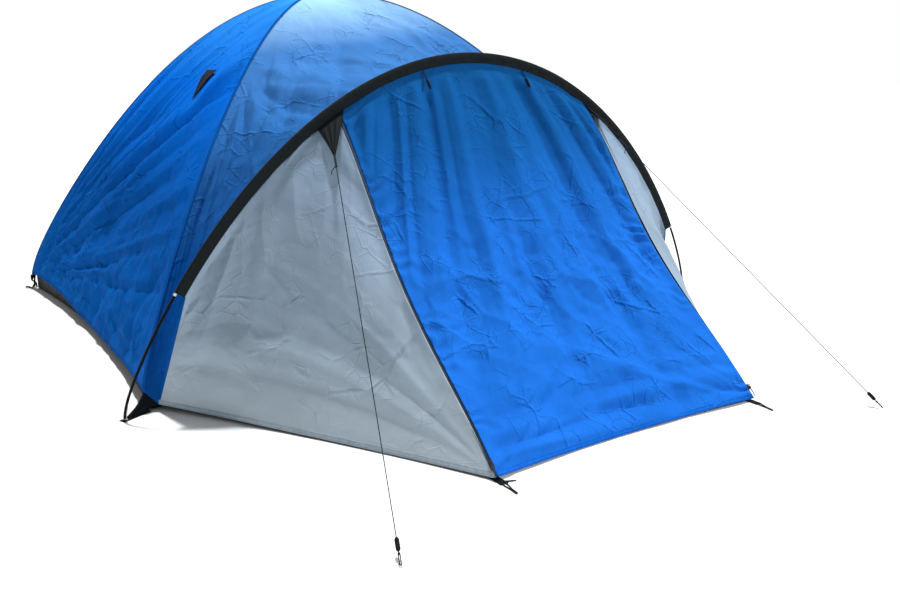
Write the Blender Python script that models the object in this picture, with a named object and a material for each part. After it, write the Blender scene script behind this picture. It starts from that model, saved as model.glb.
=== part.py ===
"""Three-person dome tent with a front porch, pitched.

Two long fibreglass poles cross over the cabin and stand on pins at its four corners.
A third, lower pole makes the porch hoop. The inner tent hangs under the crossed poles,
the outer sheet lies over them, and the porch stretches forward from the hoop.
The front of the tent faces -Y, and X runs across it.
"""

import math

import bmesh
import bpy
import numpy as np

# Cabin and porch
CABIN_WIDTH = 2.224
CABIN_DEPTH = 1.838
CROWN_RISE = 1.290
PORCH_DEPTH = 0.968
DOOR_WIDTH = 0.990
HEM_LIFT = 0.012

# Pole arches: how far their third harmonic straightens the legs
MAIN_TUCK = -0.015
MAIN_FLATTENING = -0.142
HOOP_TUCK = -0.065
HOOP_FLATTENING = -0.172

# Porch hoop, along the middle of its sleeve
HOOP_OVERHANG = 0.063
HOOP_RISE = 1.047
HOOP_FOOT_SETBACK = -0.038
HOOP_TOP_SETBACK = -0.122
HOOP_BOW = -0.029
SLEEVE_END_TURN = math.radians(38.3)
DOOR_TOP_TURN = math.radians(69.5)

# Fibreglass poles
POLE_RADIUS = 0.00425
POLE_BORE = 0.0026
POLE_SECTIONS = 6
FERRULE_LENGTH = 0.070
FERRULE_WALL = 0.0008
FERRULE_SHOWN = 0.010
FERRULE_SPACING = 0.140
PIN_LENGTH = 0.040
PIN_BASE_RADIUS = 0.0060
PIN_BASE_HEIGHT = 0.0020
FOOT_STEPS = 14
HOOP_FOOT_STEPS = 4
HOOP_SIDE_STEPS = 6
HOOP_TOP_STEPS = 3
POLE_SIDES = 8

# Cloth and seams
CLOTH = 0.0020
SEAM = 0.0003
FIT = 0.0003
SLEEVE_FIT = 0.0005
SLEEVE_WALL = 0.0010
PANEL_STEPS = 8
TAUT_ROUNDS = 300
FRONT_ROWS = 8

# Outer sheet
OUTER_PULL = 0.050
OUTER_HEM_HEIGHT = 0.030
HEM_CURVE_POWER = 4
PORCH_SLEEVE_HALF_WIDTH = 0.016
PORCH_SLEEVE_HALF_DEPTH = 0.0085
SLEEVE_SIDES = 12
SEAM_FOOT_INSET = 0.035
SEAM_FOOT_SETBACK = 0.010
SEAM_FOOT_HEIGHT = 0.020
DOOR_HEM_RISE = 0.012
SIDE_HEM_RISE = 0.0085

# Inner tent and ground sheet
INNER_PULL = 0.095
FLOOR_PULL = 0.060
INNER_SLEEVE_FIRST = 3
INNER_SLEEVE_LAST = 12
GROUNDSHEET_FLOOR = 0.0020
INNER_DOOR_WIDTH = 0.860
INNER_DOOR_HEIGHT = 0.620
INNER_DOOR_SILL = 0.100
INNER_DOOR_ROUND = 0.300
INNER_DOOR_ROUND_STEPS = 6
INNER_DOOR_GAP = 0.0030

# Zips
ZIP_TAPE_WIDTH = 0.0120
ZIP_TAPE_THICKNESS = 0.0020
ZIP_COIL_WIDTH = 0.0050
ZIP_COIL_HEIGHT = 0.0020
ZIP_TOP_DROP = 0.0140
SLIDER_LENGTH = 0.0180
SLIDER_WIDTH = 0.0110
SLIDER_HEIGHT = 0.0060
SLIDER_START = 0.0300
BRIDGE_LENGTH = 0.0120
BRIDGE_HEIGHT = 0.0050
BRIDGE_WIDTH = 0.0025
BRIDGE_BAR = 0.0014
BRIDGE_ROOT = 0.0010
PULL_LENGTH = 0.0350
PULL_WIDTH = 0.0080
PULL_TAIL_SHARE = 0.7
PULL_THICKNESS = 0.0018
PULL_BAR = 0.0020
PULL_EYE = 0.0080
PULL_FIT = 0.0004

# Porch door
DOOR_GAP = 0.0020
DOOR_FOLD_GAP = 0.0050
DOOR_FOLD_DROP = 0.0160
HEADER_ROWS = 2
DOOR_ROWS = 9

# Guys and toggles
GUY_RADIUS = 0.00125
GUY_POINTS = 40
GUY_PEG_LEFT = (-0.911, -1.179)
GUY_PEG_RIGHT = (0.782, -1.232)
GUY_END_HEIGHT = 0.0040
GUY_PATCH_LENGTH = 0.150
GUY_PATCH_TURNS = (math.radians(66.2), math.radians(69.3))
GUY_PATCH_TIP = 0.0060
GUY_PATCH_STAND_OFF = 0.0045
GUY_END_LOOP_LENGTH = 0.030
GUY_END_LOOP_WIDTH = 0.0065
RUNNER_LENGTH = 0.032
RUNNER_RADIUS = 0.0055
RUNNER_SHOULDER = 0.0045
RUNNER_NECK = 0.0024
RUNNER_FIT = 0.0004
RUNNER_FROM_PEG = 0.0320
TOGGLE_OFFSET = 0.200
TOGGLE_DROP = 0.006
TOGGLE_LOOP_LENGTH = 0.034
TOGGLE_LOOP_WIDTH = 0.007
TOGGLE_LOOP_RADIUS = 0.0010
TOGGLE_LENGTH = 0.036
TOGGLE_RADIUS = 0.0045
TOGGLE_NECK_RADIUS = 0.0027
TOGGLE_SHOULDER = 0.0054

# Webbing
WEBBING_WIDTH = 0.025
WEBBING_THICKNESS = 0.0022
WEBBING_OVERHANG = 0.045
PEG_SLOT = 0.009
PEG_LOOP_LENGTH = 0.085
PEG_LOOP_WIDTH = 0.014
PEG_LOOP_RADIUS = 0.0020
LOOP_TURN_STEPS = 5
LOOP_SIDES = 6
DOOR_WEB_OFFSET = 0.497
DOOR_WEB_LENGTH = 0.105
DOOR_WEB_OVERHANG = 0.025
CORNER_CLEAR = 0.004
CORNER_PATCH_HALF_WIDTH = 0.014
CORNER_PATCH_NARROWING = 0.7
CORNER_PATCH_DROP = 0.004
CORNER_PATCH_FORWARD = 0.006
TAB_WIDTH = 0.110
TAB_TIP = 0.008
TAB_LENGTH = 0.137
TAB_STAND_OFF = 0.006
TAB_ROWS = 4
TAB_TURN = math.radians(61.0)
TAB_SHARES = {"left": 0.4, "right": 0.6, "rear": 0.5}

HOOP_WIDTH = CABIN_WIDTH + 2 * HOOP_OVERHANG
HALF_DIAGONAL = math.hypot(CABIN_WIDTH / 2, CABIN_DEPTH / 2)
FERRULE_BORE = POLE_RADIUS + FIT
FERRULE_RADIUS = FERRULE_BORE + FERRULE_WALL
INNER_SLEEVE_BORE = FERRULE_RADIUS + SLEEVE_FIT
INNER_SLEEVE_RADIUS = INNER_SLEEVE_BORE + SLEEVE_WALL
POLE_CROSSING = 2 * FERRULE_RADIUS + FIT
# The outer panels leave a ridge slantwise, so it stands off far enough for both to clear the sleeve
OUTER_OFFSET = (INNER_SLEEVE_RADIUS + FIT + CLOTH / 2) * 2 * HALF_DIAGONAL / CABIN_DEPTH
INNER_OFFSET = -(INNER_SLEEVE_RADIUS + FIT + CLOTH / 2)
FORWARD = np.array([0.0, -1.0, 0.0])
UP = np.array([0.0, 0.0, 1.0])
# The tent's box reaches from the peg loops at the front to the webbing behind the rear corners
FRONT_REACH = PORCH_DEPTH + PEG_LOOP_LENGTH
REAR_WEBBING = (WEBBING_OVERHANG * CABIN_DEPTH + WEBBING_WIDTH / 2 * CABIN_WIDTH) / (2 * HALF_DIAGONAL)
REAR_REACH = CABIN_DEPTH + REAR_WEBBING
CABIN_FRONT = (FRONT_REACH - REAR_REACH) / 2
CABIN_MIDDLE = CABIN_FRONT + CABIN_DEPTH / 2
PORCH_FRONT = CABIN_FRONT - PORCH_DEPTH

for old_object in list(bpy.data.objects):
    bpy.data.objects.remove(old_object)


def unit(vectors):
    """Each row scaled to a length of one."""
    vectors = np.asarray(vectors, dtype=float)
    return vectors / np.linalg.norm(vectors, axis=-1, keepdims=True)


def square_to(vectors, lines):
    """Each vector with its part along the line taken out, at a length of one."""
    along = (vectors * lines).sum(-1, keepdims=True)
    return unit(vectors - along * lines)


def directions(path):
    """The direction of a line of points at each of them, halfway between its two segments."""
    steps = unit(np.diff(path, axis=0))
    ends = np.vstack([steps[:1], steps, steps[-1:]])
    return unit(ends[:-1] + ends[1:])


def finish(name, colour, roughness, metallic=0.0):
    """A plain material with the piece's colour, roughness and metal."""
    material = bpy.data.materials.new(name)
    material.use_nodes = True
    shader = material.node_tree.nodes["Principled BSDF"]
    shader.inputs["Base Color"].default_value = (*colour, 1.0)
    shader.inputs["Roughness"].default_value = roughness
    shader.inputs["Metallic"].default_value = metallic
    return material


def piece(name, bodies, material, joint=None):
    """One object from a list of (points, faces) bodies, with its origin on its joint when it has one."""
    origin = np.zeros(3) if joint is None else np.asarray(joint, dtype=float)
    work = bmesh.new()
    for points, faces in bodies:
        corners = [work.verts.new(point - origin) for point in np.asarray(points, dtype=float)]
        for face in faces:
            work.faces.new([corners[index] for index in face])
    bmesh.ops.remove_doubles(work, verts=work.verts, dist=0.00001)
    bmesh.ops.recalc_face_normals(work, faces=work.faces)
    mesh = bpy.data.meshes.new(name)
    work.to_mesh(mesh)
    work.free()
    mesh.shade_smooth()
    mesh.set_sharp_from_angle(angle=math.radians(40))
    mesh.materials.append(material)
    obj = bpy.data.objects.new(name, mesh)
    obj.location = origin
    bpy.context.scene.collection.objects.link(obj)
    return obj


def ring_faces(rings, sides, closed):
    """Faces between rings of points, with flat ends, or joined end to end when closed."""
    faces = []
    count = rings if closed else rings - 1
    for ring in range(count):
        for side in range(sides):
            low = ring * sides
            high = (ring + 1) % rings * sides
            after = (side + 1) % sides
            faces.append((low + side, low + after, high + after, high + side))
    if not closed:
        faces.append(tuple(reversed(range(sides))))
        faces.append(tuple((rings - 1) * sides + side for side in range(sides)))
    return faces


def lengths_along(path):
    """How far along a line of points each of them is."""
    return np.concatenate([[0.0], np.cumsum(np.linalg.norm(np.diff(path, axis=0), axis=1))])


def turned_along(path, across, profile, sides=POLE_SIDES, closed=False):
    """A profile turned round a line of points.

    The profile lists (distance along the line, radius) or (distance, radius across, radius out).
    across is the direction, at right angles to the line, that the first point of each ring takes.
    """
    reached = lengths_along(path)
    bends = directions(path)
    rings = []
    for entry in profile:
        distance, wide = entry[0], entry[1]
        deep = entry[2] if len(entry) > 2 else wide
        segment = int(np.clip(np.searchsorted(reached, distance) - 1, 0, len(path) - 2))
        share = (distance - reached[segment]) / (reached[segment + 1] - reached[segment])
        centre = path[segment] + share * (path[segment + 1] - path[segment])
        nearest = int(np.argmin(np.abs(reached - distance)))
        on_bend = abs(reached[nearest] - distance) < 0.00001
        along = bends[nearest] if on_bend else unit(path[segment + 1] - path[segment])
        first = square_to(np.asarray(across, dtype=float), along)
        second = np.cross(along, first)
        turns = (np.arange(sides) + 0.5) * 2 * math.pi / sides
        rings.append(centre + wide * np.outer(np.cos(turns), first) + deep * np.outer(np.sin(turns), second))
    return np.vstack(rings), ring_faces(len(profile), sides, closed)


def stretch(path, start, end):
    """The distances along a line from start to end, with every bend between them."""
    reached = lengths_along(path)
    between = [value for value in reached if start + 0.0001 < value < end - 0.0001]
    return [start, *between, end]


def hollow_tube(path, across, start, end, bore, radius, sides=POLE_SIDES):
    """A tube round a line from start to end; bore and radius are numbers or (across, out) pairs."""
    outer = radius if isinstance(radius, tuple) else (radius, radius)
    inner = bore if isinstance(bore, tuple) else (bore, bore)
    places = stretch(path, start, end)
    profile = [(place, *outer) for place in places] + [(place, *inner) for place in reversed(places)]
    return turned_along(path, across, profile, sides, closed=True)


def cloth(grid, outside, edges=(), thickness=CLOTH):
    """A sheet of cloth round a grid of points that is its middle surface.

    outside is a rough direction out of the tent. edges lists (row or column, direction) pairs:
    where the sheet meets a neighbour it is thick in that direction and not square to itself.
    Both faces bend along the same diagonals.
    """
    grid = np.asarray(grid, dtype=float)
    rows, columns = grid.shape[:2]
    normals = np.cross(np.gradient(grid, axis=0), np.gradient(grid, axis=1))
    normals += 1e-12 * outside
    normals = unit(normals)
    facing = np.sign((normals * outside).sum(-1, keepdims=True))
    normals = normals * np.where(facing == 0, 1, facing)
    for place, direction in edges:
        normals[place] = direction
    points = np.vstack([(grid + normals * thickness / 2).reshape(-1, 3),
                        (grid - normals * thickness / 2).reshape(-1, 3)])
    half = rows * columns
    faces = []
    for row in range(rows - 1):
        for column in range(columns - 1):
            corner = row * columns + column
            across = corner + columns + 1
            for half_quad in ((corner, corner + 1, across), (corner, across, corner + columns)):
                faces.append(half_quad)
                faces.append(tuple(half + index for index in reversed(half_quad)))
    border = [column for column in range(columns)]
    border += [row * columns + columns - 1 for row in range(1, rows)]
    border += [(rows - 1) * columns + column for column in range(columns - 2, -1, -1)]
    border += [row * columns for row in range(rows - 2, 0, -1)]
    for index, corner in enumerate(border):
        after = border[(index + 1) % len(border)]
        faces.append((after, corner, half + corner, half + after))
    return points, faces


def draw_back(grid, place, inner_place, thick, gap=SEAM / 2):
    """Moves an edge of a grid back from its seam by half the seam's gap, square to its thickness."""
    edge = grid[place]
    along = directions(edge)
    inward = grid[inner_place] - edge
    inward = inward - (inward * along).sum(-1, keepdims=True) * along
    inward = inward - (inward * thick).sum(-1, keepdims=True) * thick
    grid[place] = edge + gap * unit(inward)


def taut(grid):
    """Pulls the inside of a grid tight between its edges: each point goes to its neighbours' mean."""
    for _ in range(TAUT_ROUNDS):
        grid[1:-1, 1:-1] = (grid[:-2, 1:-1] + grid[2:, 1:-1] + grid[1:-1, :-2] + grid[1:-1, 2:]) / 4
    return grid


def patch_between(bottom, top, left, right):
    """A grid that fills four edges: the two straight blends, less the one between the corners."""
    rows, columns = len(left), len(bottom)
    up = np.linspace(0, 1, rows)[:, None, None]
    over = np.linspace(0, 1, columns)[None, :, None]
    upright = (1 - up) * bottom[None] + up * top[None]
    sideways = (1 - over) * left[:, None] + over * right[:, None]
    corners = ((1 - up) * ((1 - over) * bottom[0] + over * bottom[-1])
               + up * ((1 - over) * top[0] + over * top[-1]))
    return upright + sideways - corners


def plate(outline, thickness, across):
    """A flat plate: an outline of points given thickness along a direction, half to each side."""
    outline = np.asarray(outline, dtype=float)
    shift = np.asarray(across, dtype=float) * thickness / 2
    count = len(outline)
    faces = [tuple(range(count)), tuple(reversed(range(count, 2 * count)))]
    for index in range(count):
        after = (index + 1) % count
        faces.append((after, index, count + index, count + after))
    return np.vstack([outline + shift, outline - shift]), faces


def frame_of(outer, inner, thickness, across):
    """A flat plate with one hole: outer and inner outlines with as many points each."""
    outer, inner = np.asarray(outer, dtype=float), np.asarray(inner, dtype=float)
    shift = np.asarray(across, dtype=float) * thickness / 2
    rings = np.vstack([outer + shift, inner + shift, inner - shift, outer - shift])
    return rings, ring_faces(4, len(outer), closed=True)


def box(centre, axes, size):
    """A block about a centre, along three directions, with its three sizes."""
    corners = []
    for k in (-0.5, 0.5):
        for i, j in ((-0.5, -0.5), (0.5, -0.5), (0.5, 0.5), (-0.5, 0.5)):
            corners.append(centre + i * size[0] * axes[0] + j * size[1] * axes[1] + k * size[2] * axes[2])
    return np.array(corners), ring_faces(2, 4, closed=False)


def arch(turns, tuck, flattening):
    """Shares of the half span and the rise along an arch, from its foot (0) to its crown (90 degrees)."""
    out = np.cos(turns) + tuck * (np.cos(3 * turns) - np.cos(turns))
    up = np.sin(turns) + flattening * (np.sin(3 * turns) + np.sin(turns))
    return out, up


def main_line(corner, turns, rise, offset=0.0):
    """Points on a main pole from a cabin corner, given by its signs (x, y), moved square to the pole."""
    out, up = arch(turns, MAIN_TUCK, MAIN_FLATTENING)
    slope_out = -(np.sin(turns) + MAIN_TUCK * (3 * np.sin(3 * turns) - np.sin(turns))) * HALF_DIAGONAL
    slope_up = (np.cos(turns) + MAIN_FLATTENING * (3 * np.cos(3 * turns) + np.cos(turns))) * rise
    size = np.hypot(slope_out, slope_up)
    out = out * HALF_DIAGONAL + offset * slope_up / size
    up = up * rise - offset * slope_out / size
    heading = np.array([corner[0] * CABIN_WIDTH / 2, corner[1] * CABIN_DEPTH / 2, 0.0]) / HALF_DIAGONAL
    return np.array([0.0, CABIN_MIDDLE, 0.0]) + np.outer(out, heading) + np.outer(up, UP)


def main_outward(corner, turns, rise):
    """The direction square to a main pole and away from the tent, at each point."""
    return unit(main_line(corner, turns, rise, 1.0) - main_line(corner, turns, rise))


def hoop_centre(side, turns):
    """Points along the middle of the porch sleeve, from a foot (0) to the top (90 degrees)."""
    out, up = arch(turns, HOOP_TUCK, HOOP_FLATTENING)
    setback = HOOP_FOOT_SETBACK + (HOOP_TOP_SETBACK - HOOP_FOOT_SETBACK) * up
    setback = setback + HOOP_BOW * np.sin(2 * turns)
    return np.stack([side * HOOP_WIDTH / 2 * out, CABIN_FRONT + setback, HOOP_RISE * up], axis=-1)


def hoop_outward(side, turns):
    """The direction square to the hoop, in its own leaning plane and away from the tent."""
    small = 0.001
    along = unit(hoop_centre(side, turns + small) - hoop_centre(side, turns - small))
    return unit(np.cross(np.array([0.0, side, 0.0]), along))


def hoop_line(side, turns, offset, forward=0.0):
    """The hoop's middle line moved square to it, and forward."""
    return hoop_centre(side, turns) + offset * hoop_outward(side, turns) + forward * FORWARD


leg_turns = np.linspace(0, math.pi / 2, FOOT_STEPS + 1)
foot_turns = np.linspace(0, SLEEVE_END_TURN, HOOP_FOOT_STEPS + 1)
side_turns = np.linspace(SLEEVE_END_TURN, DOOR_TOP_TURN, HOOP_SIDE_STEPS + 1)
top_turns = np.linspace(DOOR_TOP_TURN, math.pi / 2, HOOP_TOP_STEPS + 1)
hoop_turns = np.concatenate([foot_turns, side_turns[1:], top_turns[1:]])
LOWER_RISE = CROWN_RISE - POLE_CROSSING / 2
UPPER_RISE = CROWN_RISE + POLE_CROSSING / 2


def both_legs(first, second):
    """One line from the foot of the first leg over the top to the foot of the second."""
    return np.vstack([first, second[-2::-1]])


def main_pole_path(corner, rise):
    """A main pole from one cabin corner over the crown to the opposite one."""
    opposite = (-corner[0], -corner[1])
    return both_legs(main_line(corner, leg_turns, rise), main_line(opposite, leg_turns, rise))


def main_pole_across(corner):
    """The level direction square to a main pole's own plane."""
    heading = unit([corner[0] * CABIN_WIDTH, corner[1] * CABIN_DEPTH, 0.0])
    return np.cross(heading, UP)


def pole_push():
    """How far out of the sleeve's middle the hoop's pole lies, where its ferrules just fit the flat oval."""
    flats = math.cos(math.pi / SLEEVE_SIDES)
    wide = (PORCH_SLEEVE_HALF_WIDTH - SLEEVE_WALL) * flats
    deep = (PORCH_SLEEVE_HALF_DEPTH - SLEEVE_WALL) * flats
    room = 1 - ((FERRULE_RADIUS + SLEEVE_FIT) / deep) ** 2
    return math.sqrt(max(room, 0.0) * (wide ** 2 - deep ** 2))


POLE_PUSH = pole_push()


def hoop_pole_path():
    """The hoop's pole, which presses against the outer side of its flat sleeve."""
    return both_legs(hoop_line(-1, hoop_turns, POLE_PUSH), hoop_line(1, hoop_turns, POLE_PUSH))


def raised(path):
    """A pole's line stood on its two pins, whose round bases lean with it and clear the webbing."""
    path = path.copy()
    for end, inner in ((0, 1), (-1, -2)):
        heading = unit(path[inner] - path[end])
        lean = math.hypot(heading[0], heading[1])
        foot = WEBBING_THICKNESS + FIT + (PIN_BASE_HEIGHT + FIT) * heading[2] + PIN_BASE_RADIUS * lean
        path[end] += (foot - path[end, 2]) / heading[2] * heading
    return path


def section_joints(path):
    """Where a pole's sections meet: at equal shares, moved to the middle of the nearest straight."""
    reached = lengths_along(path)
    middles = (reached[1:] + reached[:-1]) / 2
    shares = np.arange(1, POLE_SECTIONS) * reached[-1] / POLE_SECTIONS
    return [middles[int(np.argmin(np.abs(middles - share)))] for share in shares]


def make_pole(name, path, across, material, ends):
    """A pole as one body: hollow ends for its pins, and a ferrule's swelling where sections meet."""
    total = lengths_along(path)[-1]
    hollow = PIN_LENGTH + FIT
    half = FERRULE_LENGTH / 2
    profile = [(hollow, POLE_BORE), (0.0, POLE_BORE)]
    start = 0.0
    for joint in section_joints(path):
        if all(abs(joint - end) > FERRULE_SPACING for end in ends):
            profile += [(place, POLE_RADIUS) for place in stretch(path, start, joint - half)]
            profile += [(place, FERRULE_RADIUS) for place in stretch(path, joint - half, joint + half)]
            start = joint + half
    profile += [(place, POLE_RADIUS) for place in stretch(path, start, total)]
    profile += [(total, POLE_BORE), (total - hollow, POLE_BORE)]
    piece(name, [turned_along(path, across, profile)], material)


def make_pin(name, path, across, material):
    """The pin that a pole's foot stands on: a round base on the webbing and a shank up the hollow end."""
    heading = unit(path[1] - path[0])
    low = path[0] - heading * (PIN_BASE_HEIGHT + FIT)
    shank = POLE_BORE - FIT
    profile = [(0.0, PIN_BASE_RADIUS), (PIN_BASE_HEIGHT, PIN_BASE_RADIUS),
               (PIN_BASE_HEIGHT, shank), (PIN_BASE_HEIGHT + PIN_LENGTH, shank)]
    piece(name, [turned_along(np.array([low, path[1]]), across, profile)], material)


def make_poles():
    """Three sprung poles, the pins they stand on, and the ferrules where the hoop enters its sleeve."""
    fibreglass = finish("fibreglass", (0.02, 0.02, 0.022), 0.35)
    steel = finish("zinc_plated_steel", (0.60, 0.61, 0.62), 0.35, 1.0)
    lower = raised(main_pole_path((-1, -1), LOWER_RISE))
    upper = raised(main_pole_path((1, -1), UPPER_RISE))
    hoop = raised(hoop_pole_path())
    total = lengths_along(hoop)[-1]
    mouth = lengths_along(hoop)[HOOP_FOOT_STEPS]
    make_pole("main_pole_lower", lower, main_pole_across((-1, -1)), fibreglass, [])
    make_pole("main_pole_upper", upper, main_pole_across((1, -1)), fibreglass, [])
    make_pole("porch_pole", hoop, FORWARD, fibreglass, [mouth, total - mouth])
    shown = FERRULE_SHOWN
    starts = {"left": mouth - shown, "right": total - mouth + shown - FERRULE_LENGTH}
    for name, start in starts.items():
        tube = hollow_tube(hoop, FORWARD, start, start + FERRULE_LENGTH, FERRULE_BORE, FERRULE_RADIUS)
        piece("porch_pole_ferrule_" + name, [tube], steel)
    feet = {
        "pin_front_left": (lower, (-1, -1)), "pin_rear_right": (lower[::-1], (-1, -1)),
        "pin_front_right": (upper, (1, -1)), "pin_rear_left": (upper[::-1], (1, -1)),
    }
    for name, (path, corner) in feet.items():
        make_pin(name, path, main_pole_across(corner), steel)
    make_pin("porch_pin_left", hoop, FORWARD, steel)
    make_pin("porch_pin_right", hoop[::-1], FORWARD, steel)


def ridge(corner, offset, rise):
    """A dome seam along a pole leg, from just above its foot to the crown, and its outward direction."""
    turns = leg_turns[1:]
    return main_line(corner, turns, rise, offset), main_outward(corner, turns, rise)


def dome_grid(first, second, offset, rise, pull_low, pull_high, inward):
    """A dome panel between two ridges: straight across, and pulled in between them."""
    left, left_way = ridge(first, offset, rise)
    right, right_way = ridge(second, offset, rise)
    up = np.linspace(0, 1, FOOT_STEPS)[:, None, None]
    over = np.linspace(0, 1, PANEL_STEPS + 1)[None, :, None]
    pull = pull_low * (1 - up) + pull_high * np.sin(math.pi * up)
    grid = (1 - over) * left[:, None] + over * right[:, None]
    grid = grid + 4 * over * (1 - over) * pull * inward
    draw_back(grid, np.s_[:-1, 0], np.s_[:-1, 1], left_way[:-1])
    draw_back(grid, np.s_[:-1, -1], np.s_[:-1, -2], right_way[:-1])
    middle = PANEL_STEPS // 2
    grid[-1] = grid[-1, middle] + 2 * SEAM * unit(grid[-2, middle] - grid[-1, middle])
    edges = [(np.s_[:, 0], left_way), (np.s_[:, -1], right_way), (np.s_[-1, :], UP)]
    return grid, edges


def outer_grid(first, second, inward):
    """An outer panel, with its hem lower between the corners than at them."""
    grid, edges = dome_grid(first, second, OUTER_OFFSET, UPPER_RISE, OUTER_PULL, 0.0, inward)
    up = np.linspace(0, 1, FOOT_STEPS)[:, None, None]
    over = np.linspace(0, 1, PANEL_STEPS + 1)[None, :, None]
    drop = OUTER_HEM_HEIGHT - grid[0, 0, 2]
    return grid + 4 * over * (1 - over) * (1 - up) ** HEM_CURVE_POWER * drop * UP, edges


def inner_grid(first, second, inward):
    """A wall of the inner tent, which hangs further in than the outer sheet."""
    return dome_grid(first, second, INNER_OFFSET, LOWER_RISE, FLOOR_PULL, INNER_PULL, inward)


PANEL_CORNERS = {
    "left": ((-1, -1), (-1, 1), np.array([1.0, 0.0, 0.0])),
    "right": ((1, 1), (1, -1), np.array([-1.0, 0.0, 0.0])),
    "rear": ((-1, 1), (1, 1), np.array([0.0, -1.0, 0.0])),
    "front": ((1, -1), (-1, -1), np.array([0.0, 1.0, 0.0])),
}


def porch_seam(side):
    """The seam of dome, porch and sleeve: from the ground up to the sleeve, then along it to the top."""
    inner_edge = -(PORCH_SLEEVE_HALF_WIDTH + SEAM + CLOTH / 2)
    arc_turns = np.concatenate([side_turns, top_turns[1:]])
    arc = hoop_line(side, arc_turns, inner_edge)
    ways = hoop_outward(side, arc_turns)
    reach = CABIN_WIDTH / 2 - SEAM_FOOT_INSET
    foot = np.array([side * reach, CABIN_FRONT - SEAM_FOOT_SETBACK, SEAM_FOOT_HEIGHT])
    share = np.linspace(0, 1, HOOP_FOOT_STEPS + 1)[:-1, None]
    low = foot + share * (arc[0] - foot)
    low_ways = square_to(np.repeat(ways[:1], len(low), axis=0), unit(arc[0] - foot))
    return np.vstack([low, arc]), np.vstack([low_ways, ways])


def make_outer_dome(blue, pale_blue):
    """The four dome panels of the outer sheet, which meet over the poles."""
    for name in ("left", "right", "rear"):
        first, second, inward = PANEL_CORNERS[name]
        grid, edges = outer_grid(first, second, inward)
        piece("outer_panel_" + name, [cloth(grid, UP - 2 * inward, edges)], blue)
    left, left_way = ridge((-1, -1), OUTER_OFFSET, UPPER_RISE)
    right, right_way = ridge((1, -1), OUTER_OFFSET, UPPER_RISE)
    seam_left, seam_left_way = porch_seam(-1)
    seam_right, seam_right_way = porch_seam(1)
    over_dome, dome_way = both_legs(left, right), both_legs(left_way, right_way)
    over_hoop, hoop_way = both_legs(seam_left, seam_right), both_legs(seam_left_way, seam_right_way)
    share = np.linspace(0, 1, FRONT_ROWS + 1)[:, None, None]
    grid = taut((1 - share) * over_dome[None] + share * over_hoop[None])
    draw_back(grid, np.s_[0, :], np.s_[1, :], dome_way)
    draw_back(grid, np.s_[-1, :], np.s_[-2, :], hoop_way)
    edges = [(np.s_[0, :], dome_way), (np.s_[-1, :], hoop_way)]
    piece("outer_panel_front", [cloth(grid, UP + 0.5 * FORWARD + sideways(grid), edges)], pale_blue)


def sideways(grid):
    """The direction away from the tent's middle plane, at each point of a grid."""
    return grid * np.array([1.0, 0.0, 0.0])


def zip_line(side):
    """A porch zip's middle line from its top to its foot, with its directions: up, across and out."""
    seam, _ = porch_seam(side)
    edge = seam[HOOP_FOOT_STEPS + HOOP_SIDE_STEPS]
    beside = DOOR_GAP + ZIP_TAPE_WIDTH / 2
    foot = np.array([side * DOOR_WIDTH / 2, PORCH_FRONT, HEM_LIFT])
    up = unit(edge - foot)
    middle = np.array([0.0, PORCH_FRONT, HEM_LIFT])
    door_out = unit(np.cross(edge - foot, middle - foot)) * side
    seam_foot = seam[0]
    panel_out = -unit(np.cross(edge - foot, seam_foot - foot)) * side
    out = square_to(door_out + panel_out, up)
    across = np.cross(out, up) * -1.0
    across = across * np.sign(across[0]) * side
    top = edge - up * ZIP_TOP_DROP + across * beside
    return top, foot + across * beside, up, across, out


def halved(line):
    """A line of points with one more point in the middle of each of its segments."""
    finer = np.empty((2 * len(line) - 1, 3))
    finer[::2] = line
    finer[1::2] = (line[1:] + line[:-1]) / 2
    return finer


def make_porch_side(side, name, grey):
    """A porch side: between the sleeve, the zip, its hem and the seam to the dome."""
    seam, ways = porch_seam(side)
    top, foot, up, across, out = zip_line(side)
    low, high = HOOP_FOOT_STEPS + 1, HOOP_FOOT_STEPS + HOOP_SIDE_STEPS + 1
    back_edge = halved(seam[:low])
    share = np.linspace(0, 1, len(back_edge))[:, None]
    zip_edge = foot + across * (ZIP_TAPE_WIDTH / 2 + SEAM) + share * (top - foot)
    top_edge = seam[low - 1:high].copy()
    top_edge[-1] = zip_edge[-1]
    top_edge = halved(top_edge)
    over = np.linspace(0, 1, len(top_edge))[:, None]
    hem = back_edge[0] + over * (zip_edge[0] - back_edge[0]) + 4 * over * (1 - over) * SIDE_HEM_RISE * UP
    grid = taut(patch_between(hem, top_edge, back_edge, zip_edge))
    back_way = unit(halved(ways[:low]))
    top_way = ways[low - 1:high].copy()
    top_way[-1] = out
    top_way = unit(halved(top_way))
    draw_back(grid, np.s_[:, 0], np.s_[:, 1], back_way)
    grid[-1, :-1] += FORWARD * SEAM / 2
    back, front = 0, -1
    if side > 0:
        grid, top_way = grid[:, ::-1], top_way[::-1]
        back, front = -1, 0
    edges = [(np.s_[:, back], back_way), (np.s_[-1, :], top_way), (np.s_[:, front], out)]
    outside = FORWARD + UP + np.array([side, 0.0, 0.0])
    piece("porch_side_" + name, [cloth(grid, outside, edges)], grey)


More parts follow.
